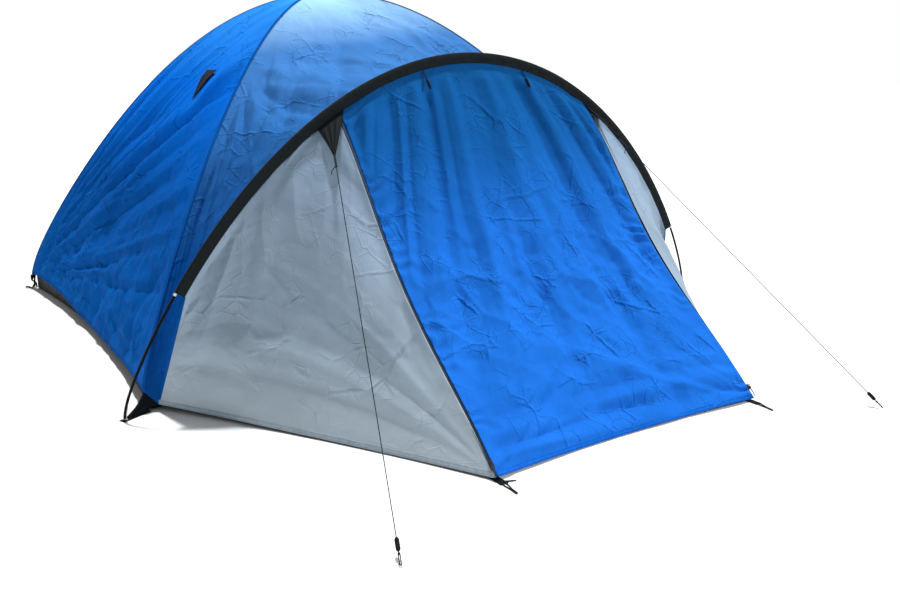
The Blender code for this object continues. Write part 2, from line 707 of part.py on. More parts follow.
def door_grid():
    """The door's cloth from sleeve to hem, as its top line, its hem and the shares where it folds."""
    first = HOOP_FOOT_STEPS + HOOP_SIDE_STEPS
    (left, left_way), (right, right_way) = porch_seam(-1), porch_seam(1)
    top = both_legs(left[first:], right[first:]) + FORWARD * SEAM / 2
    top_way = both_legs(left_way[first:], right_way[first:])
    across = top[:, 0] / top[-1, 0]
    rise = HEM_LIFT + DOOR_HEM_RISE * (1 - across ** 2)
    hem = np.stack([across * DOOR_WIDTH / 2, np.full(len(top), PORCH_FRONT), rise], axis=-1)
    middle = len(top) // 2
    slope = unit(hem[middle] - top[middle])
    fold = ((top[0] - top) @ slope + DOOR_FOLD_DROP) / ((hem - top) @ slope)
    return top, top_way, hem, fold, slope


def door_hinge():
    """The door's fold: a line across the tent at the outer face of the cloth at its middle."""
    top, _, hem, fold, slope = door_grid()
    middle = len(top) // 2
    out = unit(np.cross(slope, np.array([-1.0, 0.0, 0.0])))
    return top[middle] + fold[middle] * (hem[middle] - top[middle]) + out * CLOTH / 2


def make_door(blue):
    """The door's cloth: a header sewn under the sleeve, and the door that lifts below it."""
    top, top_way, hem, fold, slope = door_grid()
    run = hem - top
    half_gap = DOOR_FOLD_GAP / 2 / np.linalg.norm(run, axis=1)
    header = [top + share * (fold - half_gap)[:, None] * run for share in np.linspace(0, 1, HEADER_ROWS + 1)]
    outside = FORWARD + UP
    piece("door_header", [cloth(np.array(header), outside, [(np.s_[0, :], top_way)])], blue)
    start = (fold + half_gap)[:, None]
    leaf = [top + (start + share * (1 - start)) * run for share in np.linspace(0, 1, DOOR_ROWS + 1)]
    piece("porch_door", [cloth(np.array(leaf), outside)], blue, joint=door_hinge())


def make_porch_sleeve(black):
    """The flat black sleeve that holds the hoop pole against its outer side."""
    turns = np.concatenate([side_turns, top_turns[1:]])
    path = both_legs(hoop_centre(-1, turns), hoop_centre(1, turns))
    outer = (PORCH_SLEEVE_HALF_DEPTH, PORCH_SLEEVE_HALF_WIDTH)
    inner = (PORCH_SLEEVE_HALF_DEPTH - SLEEVE_WALL, PORCH_SLEEVE_HALF_WIDTH - SLEEVE_WALL)
    length = lengths_along(path)[-1]
    piece("porch_sleeve", [hollow_tube(path, FORWARD, 0.0, length, inner, outer, SLEEVE_SIDES)], black)


def cross_section(start, end, across, out, outline):
    """A bar from start to end with an outline of (across, out) points."""
    rings = [point + np.outer(np.array(outline)[:, 0], across) + np.outer(np.array(outline)[:, 1], out)
             for point in (start, end)]
    return np.vstack(rings), ring_faces(2, len(outline), closed=False)


def shaped(obj, bodies, operation):
    """An object's mesh joined with, cut by or kept within other bodies."""
    tool = piece("tool", bodies, obj.active_material, obj.location)
    modifier = obj.modifiers.new(operation.lower(), "BOOLEAN")
    modifier.operation = operation
    modifier.object = tool
    bpy.context.view_layer.update()
    result = bpy.data.meshes.new_from_object(obj.evaluated_get(bpy.context.evaluated_depsgraph_get()))
    obj.modifiers.clear()
    obj.data = result
    bpy.data.objects.remove(tool)


def make_zip(side, name, tape_finish, metal):
    """A zip's fixed half, its slider that straddles the coil, and the tab on the slider's bridge."""
    top, foot, up, across, out = zip_line(side)
    half, thick = ZIP_TAPE_WIDTH / 2, ZIP_TAPE_THICKNESS / 2
    coil, crest = ZIP_COIL_WIDTH / 2, ZIP_TAPE_THICKNESS / 2 + ZIP_COIL_HEIGHT
    outline = [(-half, -thick), (half, -thick), (half, thick), (coil, thick),
               (coil, crest), (-coil, crest), (-coil, thick), (-half, thick)]
    piece("zip_" + name, [cross_section(foot, top, across, out, outline)], tape_finish)
    low, high = thick + FIT, thick + FIT + SLIDER_HEIGHT
    wide, slot, roof = SLIDER_WIDTH / 2, coil + FIT, crest + FIT
    saddle = [(-wide, low), (-slot, low), (-slot, roof), (slot, roof),
              (slot, low), (wide, low), (wide, high), (-wide, high)]
    start = foot + up * SLIDER_START
    end = start + up * SLIDER_LENGTH
    slider = piece("zip_slider_" + name, [cross_section(start, end, across, out, saddle)], metal, start)
    seat = (start + end) / 2 + out * high
    reach, hole = BRIDGE_LENGTH / 2, BRIDGE_LENGTH / 2 - BRIDGE_BAR
    under = BRIDGE_HEIGHT - BRIDGE_BAR
    foot_row, top_row = -BRIDGE_ROOT, BRIDGE_HEIGHT
    ring = np.array([(-reach, foot_row), (reach, foot_row), (reach, top_row), (-reach, top_row)])
    eyelet = np.array([(-hole, FIT), (hole, FIT), (hole, under), (-hole, under)])
    bridge = [seat + np.outer(line[:, 0], up) + np.outer(line[:, 1], out) for line in (ring, eyelet)]
    shaped(slider, [frame_of(*bridge, BRIDGE_WIDTH, across)], "UNION")
    pivot = seat + out * (FIT + under) / 2
    grip, tail = PULL_WIDTH / 2, PULL_WIDTH / 2 * PULL_TAIL_SHARE
    eye, bar = BRIDGE_WIDTH / 2 + PULL_FIT, PULL_BAR / 2
    ring = np.array([(-grip, bar), (grip, bar), (tail, -PULL_LENGTH), (-tail, -PULL_LENGTH)])
    eyelet = np.array([(-eye, -bar), (eye, -bar), (eye, -PULL_EYE), (-eye, -PULL_EYE)])
    tab = [pivot + np.outer(line[:, 0], across) + np.outer(line[:, 1], up) for line in (ring, eyelet)]
    piece("zip_pull_" + name, [frame_of(*tab, PULL_THICKNESS, out)], metal, pivot)


def flat_loop(start, heading, across, length, width, radius):
    """A cord loop as two straight runs with round ends, from a start point along a heading."""
    turn_radius = width / 2 - radius
    near = start + heading * (radius + turn_radius)
    far = start + heading * (length - radius - turn_radius)
    swings = np.linspace(0, math.pi, LOOP_TURN_STEPS)[:, None]
    end = turn_radius * (np.cos(swings) * across + np.sin(swings) * heading)
    points = np.vstack([far + end, near - end])
    normal = unit(np.cross(heading, across))
    along = unit(np.roll(points, -1, axis=0) - np.roll(points, 1, axis=0))
    beside = np.cross(along, normal)
    turns = np.arange(LOOP_SIDES) * 2 * math.pi / LOOP_SIDES
    rings = [point + radius * (np.outer(np.cos(turns), side) + np.outer(np.sin(turns), normal))
             for point, side in zip(points, beside)]
    return np.vstack(rings), ring_faces(len(points), LOOP_SIDES, closed=True)


def guy_route(side):
    """A guy's patch corners, its cord's two ends and its heading down to the peg."""
    lower = -(PORCH_SLEEVE_HALF_WIDTH + SEAM + CLOTH / 2)
    far, near = hoop_line(side, np.array(GUY_PATCH_TURNS), lower, GUY_PATCH_STAND_OFF)
    place = GUY_PEG_LEFT if side < 0 else GUY_PEG_RIGHT
    peg = np.array([place[0], CABIN_FRONT + place[1], GUY_END_HEIGHT])
    heading = unit(peg - (near + far) / 2)
    tip = (near + far) / 2 + heading * GUY_PATCH_LENGTH
    return near, far, tip, peg, heading


def make_guy(side, name, black, plastic, cord):
    """A guy: its triangular patch, its taut cord with the peg's loop, and the runner on it."""
    near, far, tip, peg, heading = guy_route(side)
    flat = unit(np.cross(far - near, heading))
    narrow = np.cross(heading, flat) * GUY_PATCH_TIP / 2
    narrow = narrow * np.sign(narrow @ (far - near))
    piece("guy_patch_" + name, [plate([near, far, tip + narrow, tip - narrow], CLOTH, flat)], black)
    start = tip + heading * SEAM
    end = peg - heading * GUY_END_LOOP_LENGTH
    line = bpy.data.curves.new("guy_line_" + name, "CURVE")
    line.dimensions = "3D"
    line.bevel_depth = GUY_RADIUS
    line.bevel_resolution = 2
    line.use_fill_caps = True
    spline = line.splines.new("POLY")
    spline.points.add(GUY_POINTS - 1)
    for point, share in zip(spline.points, np.linspace(0, 1, GUY_POINTS)):
        point.co = (*(start + share * (end - start)), 1.0)
    line.materials.append(cord)
    bpy.context.scene.collection.objects.link(bpy.data.objects.new("guy_line_" + name, line))
    beside = unit(np.cross(UP, heading))
    length = GUY_END_LOOP_LENGTH - FIT
    loop = flat_loop(end + heading * FIT, heading, beside, length, GUY_END_LOOP_WIDTH, GUY_RADIUS)
    piece("guy_end_loop_" + name, [loop], cord)
    low = peg - heading * RUNNER_FROM_PEG
    bore = GUY_RADIUS + RUNNER_FIT
    profile = [(0.0, bore), (0.0, RUNNER_NECK), (RUNNER_SHOULDER, RUNNER_RADIUS),
               (RUNNER_LENGTH - RUNNER_SHOULDER, RUNNER_RADIUS), (RUNNER_LENGTH, RUNNER_NECK),
               (RUNNER_LENGTH, bore)]
    axis = np.array([low, low - heading * RUNNER_LENGTH])
    runner = turned_along(axis, np.cross(heading, UP), profile, closed=True)
    piece("guy_runner_" + name, [runner], plastic, low)


def make_toggle(side, name, elastic, plastic):
    """A toggle on its elastic loop, hung from the sleeve's seam in front of the header."""
    top, _, hem, _, _ = door_grid()
    order = np.argsort(top[:, 0])
    places = top[order, 0]
    place = np.array([np.interp(side * TOGGLE_OFFSET, places, top[order, axis]) for axis in range(3)])
    bottom = np.array([np.interp(side * TOGGLE_OFFSET, places, hem[order, axis]) for axis in range(3)])
    down = unit(bottom - place)
    across = square_to(np.array([1.0, 0.0, 0.0]), down)
    out = np.cross(down, across)
    out = out * np.sign(out @ FORWARD)
    pivot = place + down * TOGGLE_DROP + out * (CLOTH + FIT + TOGGLE_RADIUS)
    loop = flat_loop(pivot, down, across, TOGGLE_LOOP_LENGTH, TOGGLE_LOOP_WIDTH, TOGGLE_LOOP_RADIUS)
    piece("toggle_loop_" + name, [loop], elastic, pivot)
    start = pivot + down * (TOGGLE_LOOP_LENGTH + SEAM)
    line = np.array([start, start + down * TOGGLE_LENGTH])
    profile = [(0.0, TOGGLE_NECK_RADIUS), (TOGGLE_SHOULDER, TOGGLE_RADIUS),
               (TOGGLE_LENGTH - TOGGLE_SHOULDER, TOGGLE_RADIUS), (TOGGLE_LENGTH, TOGGLE_NECK_RADIUS)]
    piece("toggle_" + name, [turned_along(line, across, profile)], plastic, pivot)


def make_door_corner(side, name, black):
    """The webbing under a lower corner of the door, and the cord loop that takes a peg."""
    across = np.array([1.0, 0.0, 0.0])
    end = PORCH_FRONT - DOOR_WEB_OVERHANG
    middle = np.array([side * DOOR_WEB_OFFSET, end + DOOR_WEB_LENGTH / 2, WEBBING_THICKNESS / 2])
    size = (WEBBING_WIDTH, DOOR_WEB_LENGTH, WEBBING_THICKNESS)
    piece("door_corner_webbing_" + name, [box(middle, np.eye(3), size)], black)
    start = np.array([side * DOOR_WEB_OFFSET, end - SEAM, PEG_LOOP_RADIUS])
    length = PEG_LOOP_LENGTH - DOOR_WEB_OVERHANG - SEAM
    loop = flat_loop(start, FORWARD, across, length, PEG_LOOP_WIDTH, PEG_LOOP_RADIUS)
    piece("peg_loop_" + name, [loop], black)


def flat_on_ground(point):
    """A point's place in plan, at the height of the middle of a webbing that lies on the ground."""
    return np.array([point[0], point[1], WEBBING_THICKNESS / 2])


def make_corner(corner, name, black):
    """A corner's webbing under the pole feet, and the patch that ties the outer sheet down to it."""
    main_foot = flat_on_ground(main_line(corner, leg_turns[:1], LOWER_RISE)[0])
    half = WEBBING_WIDTH / 2
    if corner[1] < 0:
        hoop_foot = flat_on_ground(hoop_line(corner[0], hoop_turns[:1], POLE_PUSH)[0])
        heading = unit(hoop_foot - main_foot)
        across = np.cross(UP, heading)
        start = main_foot - heading * (PIN_BASE_RADIUS + CORNER_CLEAR)
        end = hoop_foot + heading * (PIN_BASE_RADIUS + CORNER_CLEAR)
        outline = [start - across * half, end - across * half, end + across * half, start + across * half]
        tape = plate(outline, WEBBING_THICKNESS, UP)
    else:
        sheet = flat_on_ground(ridge(corner, INNER_OFFSET, LOWER_RISE)[0][0])
        heading = unit(main_foot - sheet)
        across = np.cross(UP, heading)
        start = sheet + heading * (half + CORNER_CLEAR)
        end = main_foot + heading * WEBBING_OVERHANG
        hole = end - heading * half
        ahead = [(end, 0), (end, 1), (hole, 1), (start, 1), (start, 0), (start, -1), (hole, -1), (end, -1)]
        outer = [point + across * half * share for point, share in ahead]
        turns = np.arange(8)[:, None] * math.pi / 4
        inner = hole + PEG_SLOT / 2 * (np.cos(turns) * heading + np.sin(turns) * across)
        tape = frame_of(outer, inner, WEBBING_THICKNESS, UP)
    fly, way = ridge(corner, OUTER_OFFSET, UPPER_RISE)
    fly, out = fly[0], unit(way[0] * np.array([1.0, 1.0, 0.0]))
    beside = np.cross(UP, out)
    low = WEBBING_THICKNESS / 2
    if corner[1] < 0:
        seam_foot = porch_seam(corner[0])[0][0]
        first = fly - CORNER_PATCH_DROP * UP
        second = seam_foot - CORNER_PATCH_DROP * UP
        base = flat_on_ground(main_foot) + FORWARD * (POLE_RADIUS + CORNER_PATCH_FORWARD)
        base[2] = low
        reach = np.array([corner[0] * CORNER_PATCH_HALF_WIDTH, 0.0, 0.0])
        rows = [[base + reach, base, base - reach], [first, (first + second) / 2, second]]
    else:
        first = fly - CORNER_PATCH_DROP * UP + out * CLOTH
        base = main_foot + out * (PIN_BASE_RADIUS + CORNER_CLEAR)
        base[2] = low
        reach = beside * CORNER_PATCH_HALF_WIDTH
        narrow = reach * CORNER_PATCH_NARROWING
        rows = [[base + narrow, base, base - narrow], [first + reach, first, first - reach]]
    webbing = piece("corner_webbing_" + name, [tape], black)
    shaped(webbing, [cloth(np.array(rows), out + 0.1 * FORWARD)], "UNION")


def make_tab(name, inward, black):
    """A tapered tab sewn high on a panel for a storm guy; its lower end hangs free."""
    first, second, _ = PANEL_CORNERS[name]
    grid, _ = outer_grid(first, second, inward)
    middle = TAB_SHARES[name] * PANEL_STEPS
    column = int(middle)
    slopes = np.gradient(grid, axis=1)
    line = grid[:, column] + (middle - column) * (grid[:, column + 1] - grid[:, column])
    beside = slopes[:, column] + (middle - column) * (slopes[:, column + 1] - slopes[:, column])
    turns = leg_turns[1:]
    place = np.array([np.interp(TAB_TURN, turns, line[:, axis]) for axis in range(3)])
    lower = np.array([np.interp(TAB_TURN - turns[0], turns, line[:, axis]) for axis in range(3)])
    down = unit(lower - place)
    across = unit(np.array([np.interp(TAB_TURN, turns, beside[:, axis]) for axis in range(3)]))
    out = np.cross(down, across)
    out = out * np.sign(out[2])
    top = place + out * (CLOTH + 2 * SEAM)
    rows = []
    for share in np.linspace(0, 1, TAB_ROWS):
        half = (TAB_WIDTH + share * (TAB_TIP - TAB_WIDTH)) / 2
        middle = top + down * TAB_LENGTH * share + out * TAB_STAND_OFF * share
        rows.append([middle - across * half, middle + across * half])
    piece("guy_tab_" + name, [cloth(np.array(rows), out)], black)


def doorway(gap):
    """An upright prism with round upper corners that marks the inner door, less a gap all round."""
    half, low = INNER_DOOR_WIDTH / 2 - gap, INNER_DOOR_SILL + gap
    high = INNER_DOOR_SILL + INNER_DOOR_HEIGHT - gap
    radius = INNER_DOOR_ROUND - gap
    turns = np.linspace(0, math.pi / 2, INNER_DOOR_ROUND_STEPS)
    right = [(half - radius + radius * math.cos(t), high - radius + radius * math.sin(t)) for t in turns]
    outline = [(-half, low), (half, low)] + right + [(-x, z) for x, z in reversed(right)]
    middle = CABIN_FRONT + CABIN_DEPTH / 4
    points = [np.array([x, middle, z]) for x, z in outline]
    return plate(points, CABIN_DEPTH / 2 + 2 * WEBBING_OVERHANG, FORWARD)


def make_inner_tent(mesh_cloth, plain_cloth, coated):
    """The inner tent's four walls, its door, its pole sleeves and the ground sheet sewn below."""
    for name in ("left", "right", "rear", "front"):
        first, second, inward = PANEL_CORNERS[name]
        grid, edges = inner_grid(first, second, inward)
        body = cloth(grid, UP - 2 * inward, edges)
        wall = piece("inner_wall_" + name, [body], mesh_cloth if name == "rear" else plain_cloth)
        if name == "front":
            shaped(wall, [doorway(0.0)], "DIFFERENCE")
            door = piece("inner_door", [body], plain_cloth, inner_hinge(grid))
            shaped(door, [doorway(INNER_DOOR_GAP)], "INTERSECT")
    for corner, rise, names in (((-1, -1), LOWER_RISE, ("front_left", "rear_right")),
                                ((1, -1), UPPER_RISE, ("front_right", "rear_left"))):
        path = raised(main_pole_path(corner, rise))
        across = main_pole_across(corner)
        reached = lengths_along(path)
        low, high = reached[INNER_SLEEVE_FIRST], reached[INNER_SLEEVE_LAST]
        spans = [(low, high), (reached[-1] - high, reached[-1] - low)]
        for name, (start, end) in zip(names, spans):
            tube = hollow_tube(path, across, start, end, INNER_SLEEVE_BORE, INNER_SLEEVE_RADIUS)
            piece("inner_pole_sleeve_" + name, [tube], plain_cloth)
    make_ground_sheet(coated)


def inner_hinge(grid):
    """The inner door's fold: along the front face of the wall where the door's foot reaches furthest."""
    half = INNER_DOOR_WIDTH / 2 - INNER_DOOR_GAP
    low = INNER_DOOR_SILL + INNER_DOOR_GAP
    forward = []
    for column in range(PANEL_STEPS + 1):
        height = grid[:, column, 2]
        x = np.interp(low, height, grid[:, column, 0])
        if abs(x) <= half + CABIN_WIDTH / PANEL_STEPS:
            forward.append(np.interp(low, height, grid[:, column, 1]))
    return np.array([0.0, min(forward) - CLOTH, low])


def make_ground_sheet(coated):
    """The ground sheet: a floor whose edge stands up all round as a rim and meets the inner walls."""
    outline = []
    for name in ("front", "left", "rear", "right"):
        first, second, inward = PANEL_CORNERS[name]
        outline.append(inner_grid(first, second, inward)[0][0, :-1])
    outline = np.vstack(outline)
    rim = outline[:, 2].min() - CLOTH / 2 - SEAM
    plan = outline * np.array([1.0, 1.0, 0.0])
    along = unit(np.roll(plan, -1, axis=0) - np.roll(plan, 1, axis=0))
    outward = np.cross(along, UP)
    outward = outward * np.sign((outward * (plan - plan.mean(axis=0))).sum(-1, keepdims=True))
    outer, inner = plan + outward * CLOTH / 2, plan - outward * CLOTH / 2
    rings = [outer, outer + rim * UP, inner + rim * UP, inner + GROUNDSHEET_FLOOR * UP]
    piece("ground_sheet", [(np.vstack(rings), ring_faces(4, len(outline), closed=False))], coated)


def make_tent():
    """All the tent's pieces, from the poles outwards."""
    royal_blue = finish("royal_blue_polyester", (0.006, 0.085, 0.50), 0.55)
    pale_blue = finish("faded_blue_polyester", (0.12, 0.32, 0.70), 0.50)
    bright_blue = finish("bright_blue_polyester", (0.012, 0.17, 0.76), 0.55)
    grey = finish("grey_polyester", (0.27, 0.32, 0.38), 0.55)
    black = finish("black_webbing", (0.012, 0.014, 0.015), 0.70)
    elastic = finish("black_elastic", (0.015, 0.015, 0.016), 0.80)
    cord = finish("dark_grey_guy_cord", (0.03, 0.032, 0.035), 0.75)
    plastic = finish("black_nylon", (0.012, 0.012, 0.013), 0.40)
    metal = finish("black_nickel_plated_zinc", (0.05, 0.05, 0.055), 0.30, 1.0)
    tape = finish("grey_zip_tape", (0.13, 0.12, 0.11), 0.70)
    lining = finish("pale_grey_inner_cloth", (0.55, 0.58, 0.62), 0.65)
    mesh_cloth = finish("fine_black_mesh", (0.02, 0.02, 0.022), 0.75)
    coated = finish("olive_ground_sheet", (0.028, 0.027, 0.013), 0.45)
    make_poles()
    make_outer_dome(royal_blue, pale_blue)
    make_porch_sleeve(black)
    make_door(bright_blue)
    for side, name in ((-1, "left"), (1, "right")):
        make_porch_side(side, name, grey)
        make_zip(side, name, tape, metal)
        make_guy(side, name, black, plastic, cord)
        make_toggle(side, name, elastic, plastic)
        make_door_corner(side, name, black)
    for end_name, y in (("front", -1), ("rear", 1)):
        for name, x in (("left", -1), ("right", 1)):
            make_corner((x, y), end_name + "_" + name, black)
    for name in ("left", "right", "rear"):
        make_tab(name, PANEL_CORNERS[name][2], black)
    make_inner_tent(mesh_cloth, lining, coated)


make_tent()
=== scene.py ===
import math

import bmesh
import bpy
import numpy as np
from mathutils import Matrix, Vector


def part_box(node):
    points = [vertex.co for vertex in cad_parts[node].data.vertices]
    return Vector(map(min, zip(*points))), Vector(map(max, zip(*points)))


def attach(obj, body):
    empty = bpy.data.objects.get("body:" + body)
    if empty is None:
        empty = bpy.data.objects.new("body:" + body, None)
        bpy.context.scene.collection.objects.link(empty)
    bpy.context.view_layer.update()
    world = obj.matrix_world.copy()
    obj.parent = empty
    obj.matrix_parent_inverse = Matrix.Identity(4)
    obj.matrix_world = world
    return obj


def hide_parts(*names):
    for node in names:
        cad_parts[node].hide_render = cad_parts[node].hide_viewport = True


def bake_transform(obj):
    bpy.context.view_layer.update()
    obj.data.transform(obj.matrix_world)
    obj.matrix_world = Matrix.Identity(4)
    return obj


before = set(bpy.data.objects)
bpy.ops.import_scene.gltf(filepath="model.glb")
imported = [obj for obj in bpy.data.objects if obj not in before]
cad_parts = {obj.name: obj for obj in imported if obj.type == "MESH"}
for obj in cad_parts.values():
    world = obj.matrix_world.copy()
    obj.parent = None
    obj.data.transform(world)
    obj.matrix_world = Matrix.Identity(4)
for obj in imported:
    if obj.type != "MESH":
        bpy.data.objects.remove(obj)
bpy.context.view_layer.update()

# Camera.
# It stands at eye height off the tent's front left corner and looks slightly down at the porch,
# so that the crown just leaves the top of the picture.
CAMERA_PLACE = (-1.764, -3.0587, 1.036)
CAMERA_RIGHT = (0.8281, -0.5606, 0.0040)
CAMERA_FORWARD = (0.5429, 0.8008, -0.2519)
CAMERA_LENS = CAMERA_SENSOR = 36.0
IMAGE_WIDTH, SHIFT_RIGHT, SHIFT_UP = 900, -7.8, -5.5


def unit(vectors):
    """Vectors scaled to a length of one."""
    vectors = np.asarray(vectors, dtype=float)
    return vectors / np.maximum(np.linalg.norm(vectors, axis=-1, keepdims=True), 1e-12)


def aimed(name, data, place, right, back):
    """Adds a camera or a lamp that looks away from its back direction."""
    made = bpy.data.objects.new(name, data)
    bpy.context.scene.collection.objects.link(made)
    axes = np.eye(4)
    axes[:3] = np.stack([right, np.cross(back, right), back, place], axis=1)
    made.matrix_world = Matrix(axes.tolist())
    return made


back = -unit(CAMERA_FORWARD)
right = unit(np.array(CAMERA_RIGHT) - np.dot(CAMERA_RIGHT, back) * back)
camera = aimed("camera", bpy.data.cameras.new("camera"), CAMERA_PLACE, right, back)
camera.data.sensor_width = CAMERA_SENSOR
camera.data.lens = CAMERA_LENS
camera.data.shift_x = SHIFT_RIGHT / IMAGE_WIDTH
camera.data.shift_y = SHIFT_UP / IMAGE_WIDTH
camera.data.clip_start = 0.05
bpy.context.scene.camera = camera

# Guy lines.
# Braided polypropylene cord 2.5 mm thick, one to each side. It is tied to the patch on the hoop,
# runs taut through a nylon runner and ends in the knotted loop that a peg would hold.
CORD_RADIUS = 0.00125
GUY_ENDS = {
    "left": ((-0.57448, -0.65660, 0.76691), (-0.9110, -1.59065, 0.0040)),
    "right": ((0.56043, -0.66130, 0.76767), (0.7820, -1.64365, 0.0040)),
}
END_LOOP_LENGTH, END_LOOP_WIDTH, END_LOOP_GAP = 0.030, 0.0065, 0.0003
KNOT_SIZE, KNOT_PLACE, TOP_KNOT_SIZE = 0.0019, 0.0032, 0.0026
TOP_LOOP_START, TOP_LOOP_LENGTH, TOP_LOOP_WIDTH, TIE_OFF = -0.006, 0.050, 0.0042, 0.047
UP, FRONT, RIGHT = np.array([[0.0, 0.0, 1.0], [0.0, -1.0, 0.0], [1.0, 0.0, 0.0]])
LOOP_SIDES, TUBE_SIDES, POLE_SIDES = 10, 12, 20


def linear(code):
    """An sRGB hex colour as linear red, green, blue and alpha: ((c + 0.055) / 1.055) ** 2.4 above 0.04."""
    parts = np.array([int(code[place:place + 2], 16) for place in (0, 2, 4)]) / 255
    values = np.where(parts > 0.04045, ((parts + 0.055) / 1.055) ** 2.4, parts / 12.92)
    return (*values.tolist(), 1.0)


def add_node(tree, kind, inputs=None, **settings):
    """One shader node with its settings; an input is a value, or a node or socket that is linked to it."""
    made = tree.nodes.new("ShaderNode" + kind)
    for name, value in settings.items():
        setattr(made, name, value)
    for name, value in (inputs or {}).items():
        source = value.outputs[0] if isinstance(value, bpy.types.Node) else value
        if isinstance(source, bpy.types.NodeSocket):
            tree.links.new(source, made.inputs[name])
        else:
            made.inputs[name].default_value = source
    return made


def new_material(name, settings):
    """A material with a Principled shader's settings; returns it, its tree and the shader."""
    material = bpy.data.materials.new(name)
    material.use_nodes = True
    tree = material.node_tree
    shader = tree.nodes["Principled BSDF"]
    for socket, value in settings.items():
        shader.inputs[socket].default_value = value
    return material, tree, shader


def shown(tree, shader, colour, rough=None, relief=None, strength=1.0, distance=1.0):
    """Gives a shader its colour, its roughness, and a relief that is distance metres high at 1."""
    tree.links.new(colour.outputs[2], shader.inputs["Base Color"])
    if rough is not None:
        tree.links.new(rough.outputs[0], shader.inputs["Roughness"])
    if relief is not None:
        bump = add_node(tree, "Bump", {"Strength": strength, "Distance": distance, "Height": relief})
        tree.links.new(bump.outputs[0], shader.inputs["Normal"])


def crossed(tree, first, second, pitch):
    """Threads that cross: sin a * sin b, with a and b a full turn in each pitch of the two ways."""
    waves = []
    for way in (first, second):
        turns = add_node(tree, "Math", {0: way, 1: 2 * math.pi / pitch}, operation="MULTIPLY")
        waves.append(add_node(tree, "Math", {0: turns}, operation="SINE"))
    return add_node(tree, "Math", dict(enumerate(waves)), operation="MULTIPLY")


def map_ways(tree):
    """A piece's own map in metres: its u and its v."""
    spot = add_node(tree, "UVMap", uv_map="cloth")
    return add_node(tree, "SeparateXYZ", {0: spot}).outputs[:2]


def threaded(name, light, dark, pitch, roughness=0.62, strength=0.5, braid=False):
    """Cord or coarse cloth, whose crossing threads are painted darker in their hollows and lighter on top, as
    shade and light.

    Cloth is a plain weave of doubled threads, sin u * sin v on the piece's map. A braid's strands
    cross in diamonds one pitch long, sin(u + v) * sin(u - v), with u round the cord and v along it.
    """
    material, tree, shader = new_material(name, {"Roughness": roughness, "Specular IOR Level": 0.06})
    ways = map_ways(tree)
    if braid:
        ways = [add_node(tree, "Math", dict(enumerate(ways)), operation=kind) for kind in ("ADD", "SUBTRACT")]
    relief = crossed(tree, *ways, pitch)
    # Painted shade and light: the colour runs from dark in the hollows of the threads to light on their tops.
    tone = add_node(tree, "MapRange", {0: relief, "From Min": -1.0, "From Max": 1.0})
    colour = add_node(tree, "Mix", {0: tone, 6: linear(dark), 7: linear(light)}, data_type="RGBA")
    shown(tree, shader, colour, None, relief, strength, 0.0004)
    return material


def shares(count):
    """Evenly spread shares from 0 to 1, down the first of two axes."""
    return np.linspace(0, 1, count)[:, None]


def run_of(path):
    """How far along a line each of its points is."""
    return np.concatenate([[0.0], np.cumsum(np.linalg.norm(np.diff(path, axis=0), axis=1))])


def surface(name, grid, uv, material, wrap=(False, False), outside=None, merge=False):
    """A mesh object from a grid of points, with a face between each four neighbours.

    wrap says whether the rows and the columns join end to end; uv then has one more of each.
    The faces turn so that their normals agree with the outside direction on the whole, or a
    closed shape is merged at its doubles and turned outwards.
    """
    rows, columns = grid.shape[:2]
    index = np.arange(rows * columns).reshape(rows, columns)
    if wrap[0]:
        index = np.vstack([index, index[:1]])
    if wrap[1]:
        index = np.hstack([index, index[:, :1]])
    place = np.arange(uv.shape[0] * uv.shape[1]).reshape(uv.shape[:2])[:index.shape[0], :index.shape[1]]
    quads, marks = [
        np.stack([part[:-1, :-1], part[:-1, 1:], part[1:, 1:], part[1:, :-1]], -1).reshape(-1, 4)
        for part in (index, place)]
    if outside is not None:
        corners = grid.reshape(-1, 3)[quads]
        normals = np.cross(corners[:, 2] - corners[:, 0], corners[:, 3] - corners[:, 1])
        if outside.ndim == 3:
            outside = outside.reshape(-1, 3)[quads[:, 0]]
        if (normals * outside).sum() < 0:
            quads, marks = quads[:, ::-1], marks[:, ::-1]
    mesh = bpy.data.meshes.new(name)
    mesh.from_pydata(grid.reshape(-1, 3).tolist(), [], quads.tolist())
    layer = mesh.uv_layers.new(name="cloth")
    layer.data.foreach_set("uv", uv.reshape(-1, 2)[marks.reshape(-1)].reshape(-1))
    if merge:
        work = bmesh.new()
        work.from_mesh(mesh)
        bmesh.ops.remove_doubles(work, verts=work.verts, dist=1e-6)
        if outside is None:
            bmesh.ops.recalc_face_normals(work, faces=work.faces)
        work.to_mesh(mesh)
        work.free()
    mesh.shade_smooth()
    mesh.materials.append(material)
    made = bpy.data.objects.new(name, mesh)
    bpy.context.scene.collection.objects.link(made)
    return made


def swept(name, path, across, beside, above, u_map, material, closed):
    """A piece made by carrying a ring of points along a path.

    The points lie beside along the across direction made square to the path, and above along path
    direction x across, in one row for all of the path or one for each point. u_map is the map's u
    round the ring. An open piece gets a point at each end.
    """
    path = np.asarray(path, dtype=float)
    if closed:
        along = unit(np.roll(path, -1, axis=0) - np.roll(path, 1, axis=0))
    else:
        along = unit(np.gradient(path, axis=0))
    first = np.broadcast_to(np.asarray(across, dtype=float), path.shape)
    first = unit(first - (first * along).sum(-1, keepdims=True) * along)
    second = np.cross(along, first)
    grid = path[:, None] + beside[..., None] * first[:, None] + above[..., None] * second[:, None]
    run = run_of(path)
    if closed:
        run = np.append(run, run[-1] + np.linalg.norm(path[0] - path[-1]))
    else:
        ends = np.broadcast_to(path[[0, -1], None], (2, *grid.shape[1:]))
        grid = np.concatenate([ends[:1], grid, ends[1:]])
        run = np.concatenate([run[:1], run, run[-1:]])
    uv = np.stack(np.meshgrid(u_map, run), axis=-1)
    return surface(name, grid, uv, material, wrap=(closed, True), merge=True)


